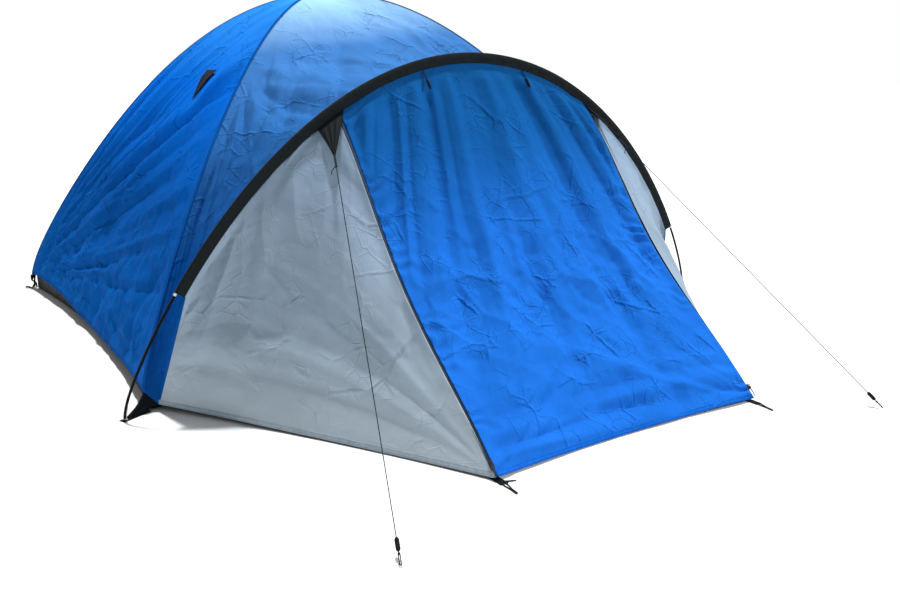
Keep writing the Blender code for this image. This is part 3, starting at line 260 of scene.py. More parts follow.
def tube(name, path, radii, across, sides, material, closed=False):
    """A round piece: points radius * cos a beside and radius * sin a above, with one radius or many."""
    radii = np.broadcast_to(np.asarray(radii, dtype=float), len(path))[:, None]
    angles = np.arange(sides)[None] * 2 * math.pi / sides
    girth = np.linspace(0, 2 * math.pi * radii.max(), sides + 1)
    return swept(name, path, across, radii * np.cos(angles), radii * np.sin(angles), girth, material, closed)


def loop_path(start, heading, across, length, width, steps=9):
    """A cord loop as one closed line: half turns at both ends of two straight runs."""
    radius = width / 2
    swing = np.linspace(0, math.pi, steps)[:, None]
    end = radius * (np.cos(swing) * across + np.sin(swing) * heading)
    near, far = start + heading * radius, start + heading * (length - radius)
    first, second = far + end, near - end
    share = shares(steps)[1:-1]
    return np.vstack([first, first[-1] + share * (second[0] - first[-1]),
                      second, second[-1] + share * (first[0] - second[-1])])


def knotted(name, centre, heading, size, radius, material):
    """A tied knot: a trefoil of cord, (cos 2t, sin 2t) across and sin 3t along the cord."""
    turns = np.linspace(0, 2 * math.pi, 41)[:-1, None]
    square = unit(np.cross(heading, UP))
    path = centre + size * (np.cos(2 * turns) * square + np.sin(2 * turns) * np.cross(heading, square))
    path = path + heading * size * np.sin(3 * turns)
    return tube(name, path, radius, heading, LOOP_SIDES, material, closed=True)


def attached(piece, body, slot, *nodes):
    """Makes a piece ride on a body and hides the CAD nodes it stands for; slot, its finish, is not used."""
    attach(piece, body)
    if nodes:
        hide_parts(*nodes)
    return piece


# A dark grey braid, painted lighter on the raised diamonds of its strands and darker between them, as painted
# light and shade.
guy_cord = threaded("braided polypropylene cord", "3A3D40", "15171A", 0.0026, 0.72, 0.6, braid=True)
for side, (top, peg) in GUY_ENDS.items():
    top, peg = np.array(top), np.array(peg)
    heading = unit(peg - top)
    square = unit(np.cross(UP, heading))
    upright = np.cross(heading, square)
    end = peg - heading * END_LOOP_LENGTH
    route = top + shares(36) * (end - top)
    line = tube("guy_cord_" + side, route, CORD_RADIUS, UP, TUBE_SIDES, guy_cord)
    path = loop_path(end + heading * (CORD_RADIUS + END_LOOP_GAP), heading, square,
                     END_LOOP_LENGTH - 2 * CORD_RADIUS - END_LOOP_GAP, END_LOOP_WIDTH - 2 * CORD_RADIUS)
    end_loop = tube("guy_peg_loop_" + side, path, CORD_RADIUS, upright, TUBE_SIDES, guy_cord, closed=True)
    knot = knotted("guy_knot_" + side, end + heading * KNOT_PLACE, heading, KNOT_SIZE, CORD_RADIUS, guy_cord)
    # The cord's upper end goes through the patch's folded tip and is tied off 47 mm further down.
    path = loop_path(top + heading * TOP_LOOP_START, heading, square, TOP_LOOP_LENGTH, TOP_LOOP_WIDTH)
    top_loop = tube("guy_top_loop_" + side, path, CORD_RADIUS, upright, TUBE_SIDES, guy_cord, closed=True)
    tied = top + heading * TIE_OFF
    top_knot = knotted("guy_top_knot_" + side, tied, heading, TOP_KNOT_SIZE, CORD_RADIUS * 1.1, guy_cord)
    share = shares(14)
    tail = tied - square * (0.002 + 0.012 * np.sin(1.9 * share)) - UP * 0.024 * share
    loose_end = tube("guy_loose_end_" + side, tail, CORD_RADIUS, heading, LOOP_SIDES, guy_cord)
    attached(line, "root", "guy_cord", "guy_line_" + side)
    attached(end_loop, "root", "guy_cord", "guy_end_loop_" + side)
    for piece in (knot, top_loop, top_knot, loose_end):
        attached(piece, "root", "guy_cord")

# Poles, ferrules and pins.
# Three wrapped fibreglass poles 8.5 mm thick, sprung into arches. Zinc-plated steel ferrules join
# their sections, and their hollow ends stand on steel pins at the corners.
CABIN_WIDTH, CABIN_DEPTH = 2.224, 1.838
CABIN_FRONT = -0.41165
HALF_DIAGONAL = math.hypot(CABIN_WIDTH / 2, CABIN_DEPTH / 2)
CABIN_MIDDLE = CABIN_FRONT + CABIN_DEPTH / 2
LOWER_RISE, UPPER_RISE = 1.2845, 1.2955
MAIN_TUCK, MAIN_FLATTENING = -0.015, -0.142
HOOP_WIDTH, HOOP_RISE = 2.350, 1.047
HOOP_TUCK, HOOP_FLATTENING = -0.065, -0.172
HOOP_FOOT_SETBACK, HOOP_TOP_SETBACK, HOOP_BOW = -0.038, -0.122, -0.029
HOOP_PUSH = 0.00997
POLE_RADIUS, POLE_SECTIONS, POLE_END = 0.00425, 6, 0.0075
FERRULE_RADIUS, FERRULE_LENGTH, FERRULE_SLOPE = 0.00535, 0.070, 0.0015
FERRULE_OUTSIDE_SLEEVE = 0.010
SLEEVE_END = math.radians(38.3)
DOOR_TOP = math.radians(69.5)


def arch(turns, tuck, flattening):
    """Shares of half span and rise: cos t and sin t, each with a third harmonic that straightens the legs."""
    out = np.cos(turns) + tuck * (np.cos(3 * turns) - np.cos(turns))
    up = np.sin(turns) + flattening * (np.sin(3 * turns) + np.sin(turns))
    return out, up


def main_line(corner, turns, rise, offset=0.0):
    """A main pole from a corner's foot to the crown, moved square to itself in its own upright plane."""
    out, up = arch(turns, MAIN_TUCK, MAIN_FLATTENING)
    slope_out = -(np.sin(turns) + MAIN_TUCK * (3 * np.sin(3 * turns) - np.sin(turns))) * HALF_DIAGONAL
    slope_up = (np.cos(turns) + MAIN_FLATTENING * (3 * np.cos(3 * turns) + np.cos(turns))) * rise
    size = np.hypot(slope_out, slope_up)
    heading = np.array([corner[0] * CABIN_WIDTH / 2, corner[1] * CABIN_DEPTH / 2, 0.0]) / HALF_DIAGONAL
    out = out * HALF_DIAGONAL + offset * slope_up / size
    up = up * rise - offset * slope_out / size
    return np.array([0.0, CABIN_MIDDLE, 0.0]) + np.outer(out, heading) + np.outer(up, UP)


def main_outward(corner, turns, rise):
    """The direction square to a main pole and away from the tent."""
    return unit(main_line(corner, turns, rise, 1.0) - main_line(corner, turns, rise))


def main_beside(corner):
    """The level direction square to a main pole's upright plane."""
    return np.cross(unit([corner[0] * CABIN_WIDTH, corner[1] * CABIN_DEPTH, 0.0]), UP)


def hoop_centre(side, turns):
    """The porch hoop: an arch that leans back with its height and bows by sin 2t."""
    out, up = arch(turns, HOOP_TUCK, HOOP_FLATTENING)
    setback = HOOP_FOOT_SETBACK + (HOOP_TOP_SETBACK - HOOP_FOOT_SETBACK) * up + HOOP_BOW * np.sin(2 * turns)
    return np.stack([side * HOOP_WIDTH / 2 * out, CABIN_FRONT + setback, HOOP_RISE * up], axis=-1)


def hoop_outward(side, turns):
    """The direction square to the hoop, in its own plane and away from the tent."""
    along = unit(hoop_centre(side, turns + 0.001) - hoop_centre(side, turns - 0.001))
    return unit(np.cross(np.array([0.0, side, 0.0]), along))


def hoop_line(side, turns, offset, forward=0.0):
    """The hoop moved square to itself and forward."""
    return hoop_centre(side, turns) + offset * hoop_outward(side, turns) + forward * FRONT


def both_legs(first, second):
    """One line from the foot of the first leg over the top to the foot of the second."""
    return np.vstack([first, second[-2::-1]])


def on_pins(path):
    """A pole cut where its ends stand on their pins, 7 mm above the ground."""
    return path[path[:, 2] > POLE_END]


def speckled(name, settings, scale, detail, dark, light, rough=None, relief=None):
    """Metal or moulded plastic: two near tones in a fine noise.

    rough is the two values between which the same noise sets the roughness, and relief is the
    scale, the strength and the height in metres of a noise on the skin.
    """
    material, tree, shader = new_material(name, settings)
    place = add_node(tree, "TexCoord").outputs["Object"]
    grain = add_node(tree, "TexNoise", {"Scale": scale, "Detail": detail, "Vector": place})
    colour = add_node(tree, "Mix", {0: grain, 6: linear(dark), 7: linear(light)}, data_type="RGBA")
    dulling = rough and add_node(tree, "MapRange", {0: grain, "To Min": rough[0], "To Max": rough[1]})
    if relief:
        skin = add_node(tree, "TexNoise", {"Scale": relief[0], "Detail": detail, "Vector": place})
        shown(tree, shader, colour, dulling, skin, *relief[1:])
    else:
        shown(tree, shader, colour, dulling)
    return material


def repaint(material, *nodes):
    """Gives CAD nodes that keep their shape their finish."""
    for node in nodes:
        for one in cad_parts[node].material_slots:
            one.material = material


# Near black resin with a dull shine, in which the wound glass shows as faint slanting bands.
fibreglass, tree, shader = new_material("wrapped fibreglass", {
    "Roughness": 0.32, "IOR": 1.5, "Specular IOR Level": 0.04})
spot = add_node(tree, "UVMap", uv_map="cloth")
# The glass tape is wound at 24 degrees, in bands 6 mm wide.
wound = add_node(tree, "Mapping", {"Vector": spot, "Rotation": (0.0, 0.0, math.radians(24))})
bands = add_node(tree, "TexWave", {"Vector": wound, "Scale": 0.314 / 0.006, "Distortion": 0.4, "Detail": 2.0})
band = bands.outputs["Fac"]
colour = add_node(tree, "Mix", {0: band, 6: linear("080A0C"), 7: linear("14171A")}, data_type="RGBA")
shown(tree, shader, colour, None, band, 0.15, 0.0003)

# Zinc on drawn steel: bright, with fine spots where it has gone dull.
plated_steel = speckled("zinc-plated steel", {"Metallic": 1.0, "Roughness": 0.3}, 900.0, 4.0,
                        "A9ADB2", "DADCDD", rough=(0.22, 0.42))

leg = np.linspace(0, math.pi / 2, 241)
for name, corner, rise in (("lower", (-1, -1), LOWER_RISE), ("upper", (1, -1), UPPER_RISE)):
    opposite = (-corner[0], -corner[1])
    path = on_pins(both_legs(main_line(corner, leg, rise), main_line(opposite, leg, rise)))
    run = run_of(path)
    joints = np.arange(1, POLE_SECTIONS) * run[-1] / POLE_SECTIONS
    near = np.min(np.abs(run[:, None] - joints), axis=1)
    swelling = np.clip((FERRULE_LENGTH / 2 - near) / FERRULE_SLOPE + 0.5, 0, 1)
    radii = POLE_RADIUS + (FERRULE_RADIUS - POLE_RADIUS) * swelling
    pole = tube("main_pole_rod_" + name, path, radii, main_beside(corner), POLE_SIDES, fibreglass)
    attached(pole, "root", "fibreglass", "main_pole_" + name)

path = on_pins(both_legs(hoop_line(-1, leg, HOOP_PUSH), hoop_line(1, leg, HOOP_PUSH)))
run = run_of(path)
mouth = float(np.interp(SLEEVE_END, leg, run_of(hoop_line(-1, leg, HOOP_PUSH)))) - POLE_END
hoop_rod = tube("porch_pole_rod", path, POLE_RADIUS, FRONT, POLE_SIDES, fibreglass)
attached(hoop_rod, "root", "fibreglass", "porch_pole")
for side, start in (("left", mouth - FERRULE_OUTSIDE_SLEEVE),
                    ("right", run[-1] - mouth + FERRULE_OUTSIDE_SLEEVE - FERRULE_LENGTH)):
    places = np.linspace(start, start + FERRULE_LENGTH, 60)
    centre = np.stack([np.interp(places, run, path[:, axis]) for axis in range(3)], axis=-1)
    ends = np.minimum(places - start, start + FERRULE_LENGTH - places)
    # Its mouths are rounded over 1.2 mm, and it is crimped 6 mm inside each.
    rounding = 0.0006 * np.clip(1 - ends / 0.0012, 0, 1) ** 2
    crimp = 0.00025 * np.exp(-((ends - 0.006) / 0.0012) ** 2)
    ferrule = tube("hoop_ferrule_" + side, centre, FERRULE_RADIUS - rounding - crimp, FRONT, 24, plated_steel)
    attached(ferrule, "root", "plated_steel", "porch_pole_ferrule_" + side)
repaint(plated_steel, "pin_front_left", "pin_front_right", "pin_rear_left", "pin_rear_right",
        "porch_pin_left", "porch_pin_right")

# Outer sheet over the dome.
# Thin coated polyester taffeta in four panels, sewn over the poles. The left, right and rear
# panels are royal blue, straight across between the poles and drawn in towards the ground.
OUTER_OFFSET = 0.012794
OUTER_RISE = UPPER_RISE
OUTER_PULL = 0.050
OUTER_HEM_HEIGHT = 0.030
HEM_SCALLOP = 0.022
HEM_SCALLOP_PLACES = {"left": 0.80, "right": 0.20, "rear": 0.5}
CLOTH = 0.0007
WEAVE_PITCH = 0.0014
FIRST_TURN = math.pi / 28
TONE_TOP = 1.4
RIDGE_SHARE = 0.055
MIDDLE_OF_NOISE = {"From Min": 0.3, "From Max": 0.7}
PANEL_CORNERS = {
    "left": ((-1, -1), (-1, 1), RIGHT),
    "right": ((1, 1), (1, -1), -RIGHT),
    "rear": ((-1, 1), (1, 1), FRONT),
    "front": ((1, -1), (-1, -1), -FRONT),
}
OUTER_ROWS, OUTER_COLUMNS = 181, 201
TAB_TURN = math.radians(61.0)
TAB_ROW = int(round((TAB_TURN - FIRST_TURN) / (math.pi / 2 - FIRST_TURN) * (OUTER_ROWS - 1)))
TAB_COLUMNS = {"left": 80, "right": 120, "rear": 100}


def smooth(share):
    """0 below 0, 1 above 1 and 3t^2 - 2t^3 between."""
    share = np.clip(share, 0, 1)
    return share * share * (3 - 2 * share)


def from_edges(share, width):
    """0 at both ends of a share and 1 from a width inside them, with a smooth rise between."""
    return smooth(np.minimum(share, 1 - share) / width)


def ripple(u, v, size_u, size_v, seed):
    """Smooth random height from -1 to 1: random numbers on a lattice, blended by 6t^5 - 15t^4 + 10t^3."""
    lattice = np.random.default_rng(seed).uniform(-1, 1, (128, 128))
    x, y = u / size_u, v / size_v
    i, j = np.floor(x).astype(int), np.floor(y).astype(int)
    s, t = (part ** 3 * (part * (part * 6 - 15) + 10) for part in (x - i, y - j))
    low, high = (lattice[i % 128, (j + b) % 128] * (1 - s) + lattice[(i + 1) % 128, (j + b) % 128] * s
                 for b in (0, 1))
    return low * (1 - t) + high * t


def faceted(u, v, size, seed, turn=0.0, stretch=1.0):
    """Crumpled taffeta: nearly flat facets that meet in straight creases, with slopes of about 1.

    Each cell of a lattice has a random point p, level h and slope g. The height is the greatest of
    0.15 h + 0.6 g (x - p) - 0.9 |x - p|^2 over the nine nearest. The axes are turned by turn degrees,
    and the facets are stretched along the second one.
    """
    turn = math.radians(turn)
    x = (u * math.cos(turn) + v * math.sin(turn)) / size
    y = (v * math.cos(turn) - u * math.sin(turn)) / (size * stretch)
    spread = np.random.default_rng(seed).uniform(-1, 1, (5, 64, 64))
    i, j = np.floor(x).astype(int), np.floor(y).astype(int)
    highest = np.full(np.shape(x), -9.0)
    for a in (-1, 0, 1):
        for b in (-1, 0, 1):
            px, py, level, slope_x, slope_y = spread[:, (i + a) % 64, (j + b) % 64]
            dx, dy = x - i - a - 0.5 - 0.4 * px, y - j - b - 0.5 - 0.4 * py
            facet = 0.15 * level + 0.6 * (slope_x * dx + slope_y * dy) - 0.9 * (dx * dx + dy * dy)
            highest = np.maximum(highest, facet)
    return size * highest


def pleated(turn):
    """A triangle wave with flat sides and rounded edges: (2 / pi) asin(0.98 sin(pi t))."""
    return 2 / math.pi * np.arcsin(0.98 * np.sin(math.pi * turn))


def pull_lines(u, v, start, heading, spread, width, reach, seed):
    """Tension folds that fan out from a pinned point at u = start, v = 0, width wide 1 m out.

    They are pleats over the angle, uneven in strength. They fade by exp(-(angle / spread)^2) about
    the heading, in degrees, and by exp(-(r / reach)^2) outwards.
    """
    du = u - start
    far = np.hypot(du, v)
    angle = np.arctan2(v, du) - math.radians(heading)
    angle = (angle + math.pi) % (2 * math.pi) - math.pi
    turn = angle / width + 1.4 * ripple(angle / width, far, 2.5, 0.7, seed)
    strength = 0.30 + 0.70 * smooth(0.5 + ripple(angle / width, far, 1.3, 0.9, seed + 1))
    fading = np.exp(-(angle / spread) ** 2) * np.minimum(far, 1.0) * np.exp(-(far / reach) ** 2)
    return pleated(turn / 2) * strength * fading


def summed(pattern, u, v, *kinds):
    """The sum of a pattern of several kinds, each a height and what the pattern takes after u and v."""
    return sum(height * pattern(u, v, *kind) for height, *kind in kinds)


def facing(grid, outside):
    """The normal of a grid at each of its points, on the side of a rough outside direction."""
    normals = np.cross(np.gradient(grid, axis=0), np.gradient(grid, axis=1))
    normals = unit(normals + 1e-9 * outside)
    return normals * np.where((normals * outside).sum(-1, keepdims=True) < 0, -1, 1)


def cloth_map(grid):
    """A sheet's map in metres: u across from its middle line, v up along that line."""
    steps = np.linalg.norm(np.diff(grid, axis=1), axis=-1)
    u = np.concatenate([np.zeros((len(grid), 1)), np.cumsum(steps, axis=1)], axis=1)
    u = u - u[:, -1:] / 2
    middle = grid[:, grid.shape[1] // 2]
    return np.stack([u, np.broadcast_to(run_of(middle)[:, None], u.shape)], axis=-1)


def flat_area(grid):
    """The area of a grid's faces, each half the size of its diagonals' cross product."""
    diagonals = np.cross(grid[1:, 1:] - grid[:-1, :-1], grid[1:, :-1] - grid[:-1, 1:])
    return float(np.linalg.norm(diagonals, axis=-1).sum() / 2)


def taffeta(name, stops, sideways=0.0, creased=1.0):
    """Coated polyester taffeta: a fine plain weave with a silky shine that has been packed and crushed.

    The weave, sin u * sin v on the cloth's map, is drawn 1.4 mm apart where real threads lie
    0.3 mm apart, because finer ones don't show. The creases from packing are sharp straight ridges on
    the edges of Voronoi cells 150, 62 and 30 mm wide, in patches.
    stops are tones at levels z + sideways * x in metres. On the blue cloth they are painted light and shade:
    lighter towards the crown, where light falls from above, and darker where the cloth is shaded.
    """
    material, tree, shader = new_material(name, {"IOR": 1.46, "Specular IOR Level": 0.001})
    place = add_node(tree, "TexCoord").outputs["Object"]
    patches = add_node(tree, "TexNoise", {"Scale": 8.0, "Detail": 1.0, "Vector": place})
    packed = add_node(tree, "MapRange", {0: patches, "From Min": 0.47, "From Max": 0.60})
    fuzz = add_node(tree, "TexNoise", {"Scale": 150.0, "Detail": 2.0, "Vector": place})
    heights = [(fuzz, 0.00012), (crossed(tree, *map_ways(tree), WEAVE_PITCH), 0.000035)]
    for size, height in ((0.050, 0.0016), (0.020, 0.0005)):
        hollow = add_node(tree, "TexVoronoi", {"Scale": 1 / size, "Vector": place}, feature="F1")
        heights.append((hollow, height))
    for size, height in ((0.150, 0.0034), (0.062, 0.0018), (0.030, 0.0007)):
        edge = add_node(tree, "TexVoronoi", {"Scale": 1 / size, "Vector": place}, feature="DISTANCE_TO_EDGE")
        levels = {0: edge, "From Max": RIDGE_SHARE, "To Min": creased * height, "To Max": 0.0}
        ridge = add_node(tree, "MapRange", levels, interpolation_type="SMOOTHSTEP")
        heights.append((ridge, packed))
    total = 0.0
    for height, size in heights:
        total = add_node(tree, "Math", {0: height, 1: size, 2: total}, operation="MULTIPLY_ADD")
    x, _, z = add_node(tree, "SeparateXYZ", {0: place}).outputs
    level = add_node(tree, "Math", {0: x, 1: sideways, 2: z}, operation="MULTIPLY_ADD")
    share = add_node(tree, "Math", {0: level, 1: TONE_TOP}, operation="DIVIDE")
    ramp = add_node(tree, "ValToRGB", {0: share})
    while len(ramp.color_ramp.elements) < len(stops):
        ramp.color_ramp.elements.new(0.5)
    for element, (level, code) in zip(ramp.color_ramp.elements, stops):
        element.position, element.color = level / TONE_TOP, linear(code)
    cloud = add_node(tree, "TexNoise", {"Scale": 4.0, "Detail": 3.0, "Vector": place})
    wear = add_node(tree, "MapRange", {0: cloud, **MIDDLE_OF_NOISE, "To Min": 0.90, "To Max": 1.05})
    tone = add_node(tree, "Mix", {0: 1.0, 6: ramp, 7: wear}, data_type="RGBA", blend_type="MULTIPLY")
    rough = add_node(tree, "MapRange", {0: cloud, "To Min": 0.34, "To Max": 0.52})
    shown(tree, shader, tone, rough, total)
    return material


def thickened(piece, thickness=CLOTH):
    """Gives a sheet its two faces."""
    solid = piece.modifiers.new("cloth thickness", "SOLIDIFY")
    solid.thickness = thickness
    solid.offset = 0.0
    return piece


def folded(name, flat, height, outside, material, merge=True):
    """A sheet and its grid: a flat grid moved by a height along its normals, with two faces."""
    grid = flat + height[..., None] * facing(flat, outside)
    piece = surface(name, grid, cloth_map(flat), material, outside=outside, merge=merge)
    return thickened(piece), grid


def dome_panel(name, offset, rise, pull_low, pull_high, rows, columns):
    """A dome panel before its folds: straight across between two poles, pulled in by 4s(1 - s)."""
    first, second, inward = PANEL_CORNERS[name]
    turns = np.linspace(FIRST_TURN, math.pi / 2, rows)
    left, right = main_line(first, turns, rise, offset), main_line(second, turns, rise, offset)
    up, over = shares(rows)[..., None], shares(columns).T[..., None]
    pull = pull_low * (1 - up) + pull_high * np.sin(math.pi * up)
    grid = (1 - over) * left[:, None] + over * right[:, None]
    return grid + 4 * over * (1 - over) * pull * inward, up, over, inward


def outer_cloth(name):
    """An outer panel before its folds, with its hem: level in the middle and risen towards the rear."""
    flat, up, over, inward = dome_panel(
        name, OUTER_OFFSET, OUTER_RISE, OUTER_PULL, 0.0, OUTER_ROWS, OUTER_COLUMNS)
    flat = flat + 4 * over * (1 - over) * (1 - up) ** 4 * (OUTER_HEM_HEIGHT - flat[0, 0, 2]) * UP
    scallop = HEM_SCALLOP * np.exp(-((over - HEM_SCALLOP_PLACES[name]) / 0.20) ** 2)
    return flat + scallop * (1 - up) ** 6 * UP, up, over, inward


# Deep blue low down and painted lighter towards the crown, where light falls on it from above, with glints
# along its creases.
royal_blue = taffeta("royal blue polyester taffeta", [
    (0.1, "0E5FB4"), (0.55, "0A54A6"), (0.95, "0A72E6"), (1.25, "3098FF")], creased=1.3)
hem_grids = {}
for seed, name in enumerate(("left", "right", "rear")):
    flat, up, over, inward = outer_cloth(name)
    u, v = np.moveaxis(cloth_map(flat), -1, 0)
    up, over = up[..., 0], over[..., 0]
    inside = from_edges(over, 0.08) * smooth((1 - up) / 0.12) * smooth((v + 0.03) / 0.12)
    # Long folds fan out from the rear foot and the front foot, and smaller creases web the lower half.
    creases = summed(faceted, u, v, (0.24, 0.12, 16 + seed, 30, 1.8), (-0.26, 0.065, 20 + seed, -40, 1.6),
                     (0.16, 0.036, 30 + seed, 10, 1.5))
    low = 0.15 + 0.95 * smooth(1.0 - 1.5 * up)
    half = np.abs(u[0]).max()
    fans = summed(pull_lines, u, v, (0.0330, half, 146, 0.42, 0.060, 2.4, 40 + seed),
                  (0.0170, half, 142, 0.50, 0.026, 2.4, 41 + seed),
                  (0.0050, half, 138, 0.50, 0.012, 2.4, 42 + seed),
                  (0.0200, -half, 80, 0.40, 0.060, 2.4, 43 + seed))
    hang = 0.005 * ripple(u, v, 0.11, 0.9, 50 + seed) * smooth(1.2 - up)
    # The cloth lies flat under the tab that is sewn on it.
    tab_u, tab_v = u[TAB_ROW - 8, TAB_COLUMNS[name]], v[TAB_ROW - 8, 0]
    calm = 1 - 0.92 * np.exp(-(((u - tab_u) / 0.09) ** 2 + ((v - tab_v) / 0.12) ** 2) ** 2)
    height = inside * calm * np.maximum(creases * low + fans + hang, -0.014 - 0.012 * inside)
    panel, hem_grids["outer_" + name] = folded(
        "outer_sheet_" + name, flat, height, UP - 2 * inward, royal_blue)
    attached(panel, "root", "royal_blue_polyester", "outer_panel_" + name)

# The front panel reaches from the two front poles forward to the porch hoop. The same taffeta in
# a lighter blue, painted paler towards the crown as light and sky reflection, and drawn tight between four
# curved edges.
SEAM_FOOT = (1.077, -0.010, 0.020)
SEAM_INSET = -0.0173
FRONT_ROWS, FRONT_COLUMNS = 121, 313


def refined(line, count):
    """Points spread along a line or grid's first axis: Catmull-Rom cubics through its points."""
    line = np.asarray(line, dtype=float)
    place = np.linspace(0, len(line) - 1, count)
    k = np.minimum(place.astype(int), len(line) - 2)
    t = (place - k).reshape(-1, *([1] * (line.ndim - 1)))
    padded = np.concatenate([2 * line[:1] - line[1:2], line, 2 * line[-1:] - line[-2:-1]])
    a, b, c, d = padded[k], padded[k + 1], padded[k + 2], padded[k + 3]
    square, cube = 2 * a - 5 * b + 4 * c - d, 3 * b - a - 3 * c + d
    return 0.5 * (2 * b + (c - a) * t + square * t ** 2 + cube * t ** 3)


def fine(grid, rows, columns):
    """A coarse grid refined both ways."""
    return refined(refined(grid, rows).swapaxes(0, 1), columns).swapaxes(0, 1)


def tight(grid, rounds=300):
    """The inside of a grid pulled tight between its edges: each point goes to its neighbours' mean."""
    for _ in range(rounds):
        grid[1:-1, 1:-1] = (grid[:-2, 1:-1] + grid[2:, 1:-1] + grid[1:-1, :-2] + grid[1:-1, 2:]) / 4
    return grid


def porch_seam(side):
    """The seam of dome, porch and sleeve: straight up to the sleeve's end, then along the sleeve."""
    turns = np.concatenate([np.linspace(SLEEVE_END, DOOR_TOP, 7), np.linspace(DOOR_TOP, math.pi / 2, 4)[1:]])
    arc = hoop_line(side, turns, SEAM_INSET)
    foot = np.array([side * SEAM_FOOT[0], CABIN_FRONT + SEAM_FOOT[1], SEAM_FOOT[2]])
    return np.vstack([foot + shares(5)[:-1] * (arc[0] - foot), arc])


# Painted pale sky blue at the crown, as light and sky reflection, and deep beside the hoop's legs; painted
# shade darkens it towards the right.
pale_blue = taffeta("pale blue polyester taffeta painted lighter at the crown", [
    (0.5, "0E52A0"), (0.85, "2F6CB0"), (1.1, "4680C4"), (1.27, "9CCAF4")], sideways=-0.10)
turns = np.linspace(FIRST_TURN, math.pi / 2, 14)
over_dome = both_legs(*(main_line((side, -1), turns, OUTER_RISE, OUTER_OFFSET) for side in (-1, 1)))
over_hoop = both_legs(porch_seam(-1), porch_seam(1))
share = shares(9)[..., None]
flat = fine(tight((1 - share) * over_dome[None] + share * over_hoop[None]), FRONT_ROWS, FRONT_COLUMNS)
u, v = np.moveaxis(cloth_map(flat), -1, 0)
share, along = shares(FRONT_ROWS), shares(FRONT_COLUMNS).T
inside = from_edges(share, 0.14) * from_edges(along, 0.03)
creases = summed(faceted, u, v, (0.16, 0.14, 61, 25, 2.0), (-0.15, 0.070, 62, -30, 2.2),
                 (0.08, 0.038, 63, 50, 1.6))
drawn = 0.0035 * ripple(u + 0.5 * v, v, 0.070, 0.8, 64)
middle = u[0].max() * 0.40
fans = summed(pull_lines, u, v, (0.055, -middle, 75, 0.75, 0.15, 1.2, 66),
              (0.055, middle, 105, 0.75, 0.15, 1.2, 67), (0.016, -middle, 60, 0.75, 0.055, 1.2, 68))
breadth = np.linalg.norm(flat[-1] - flat[0], axis=-1)[None, :]
height = np.maximum(creases + fans + drawn * smooth(1.3 - 1.2 * share), -0.020)
height = inside * smooth(breadth / 0.5) * height
front_panel, _ = folded("outer_sheet_front", flat, height, UP + 0.5 * FRONT + flat * RIGHT, pale_blue)
attached(front_panel, "root", "pale_blue_polyester", "outer_panel_front")

# Porch sides.
# Grey taffeta between the sleeve, the door's zip, the ground and the seam to the dome, stretched
# forward to the door's pegged corner, with a turned and sewn hem.
PORCH_FRONT = -1.37965
DOOR_WIDTH = 0.990
DOOR_GAP = 0.002
HEM_LIFT = 0.012
ZIP_TAPE_WIDTH, ZIP_TOP_DROP, ZIP_SAG = 0.012, 0.014, 0.050
ZIP_LAP, ZIP_LIFT = 0.0020, 0.0018
SIDE_BULGE, SIDE_HEM_RISE, SIDE_HEM_CURVE = 0.022, -0.0080, 0.022
SIDE_ROWS, SIDE_COLUMNS = 151, 181
SEAM_AT_SLEEVE_END, SEAM_AT_ZIP = 4, 10
SIDES = ((-1, "left"), (1, "right"))


def zip_line(side):
    """A zip's middle line from its top to its foot, with its directions up, across and out."""
    seam = porch_seam(side)
    edge, beside = seam[SEAM_AT_ZIP], DOOR_GAP + ZIP_TAPE_WIDTH / 2
    foot = np.array([side * DOOR_WIDTH / 2, PORCH_FRONT, HEM_LIFT])
    up = unit(edge - foot)
    middle = np.array([0.0, PORCH_FRONT, HEM_LIFT])
    door_out = unit(np.cross(edge - foot, middle - foot)) * side
    panel_out = -unit(np.cross(edge - foot, seam[0] - foot)) * side
    out = door_out + panel_out
    out = unit(out - np.dot(out, up) * up)
    across = np.cross(up, out)
    across = across * np.sign(across[0]) * side
    return edge - up * ZIP_TOP_DROP + across * beside, foot + across * beside, up, across, out


def slack(share):
    """How far the slack door and its zips sag in towards the porch: nothing at the ends, most halfway."""
    door_in = unit(np.cross(RIGHT, zip_line(-1)[2]))
    return np.sin(math.pi * np.clip(share, 0, 1)) ** 2 * ZIP_SAG * door_in * np.sign(door_in[1])


def halved(line):
    """A line with one more point in the middle of each of its segments."""
    finer = np.empty((2 * len(line) - 1, 3))
    finer[::2] = line
    finer[1::2] = (line[1:] + line[:-1]) / 2
    return finer


def filled(bottom, top, left, right):
    """A grid inside four edges: the two straight blends, less the one between the corners."""
    up, over = shares(len(left))[..., None], shares(len(bottom)).T[..., None]
    low, high = ((1 - over) * edge[0] + over * edge[-1] for edge in (bottom, top))
    return ((1 - up) * (bottom[None] - low) + up * (top[None] - high)
            + (1 - over) * left[:, None] + over * right[:, None])
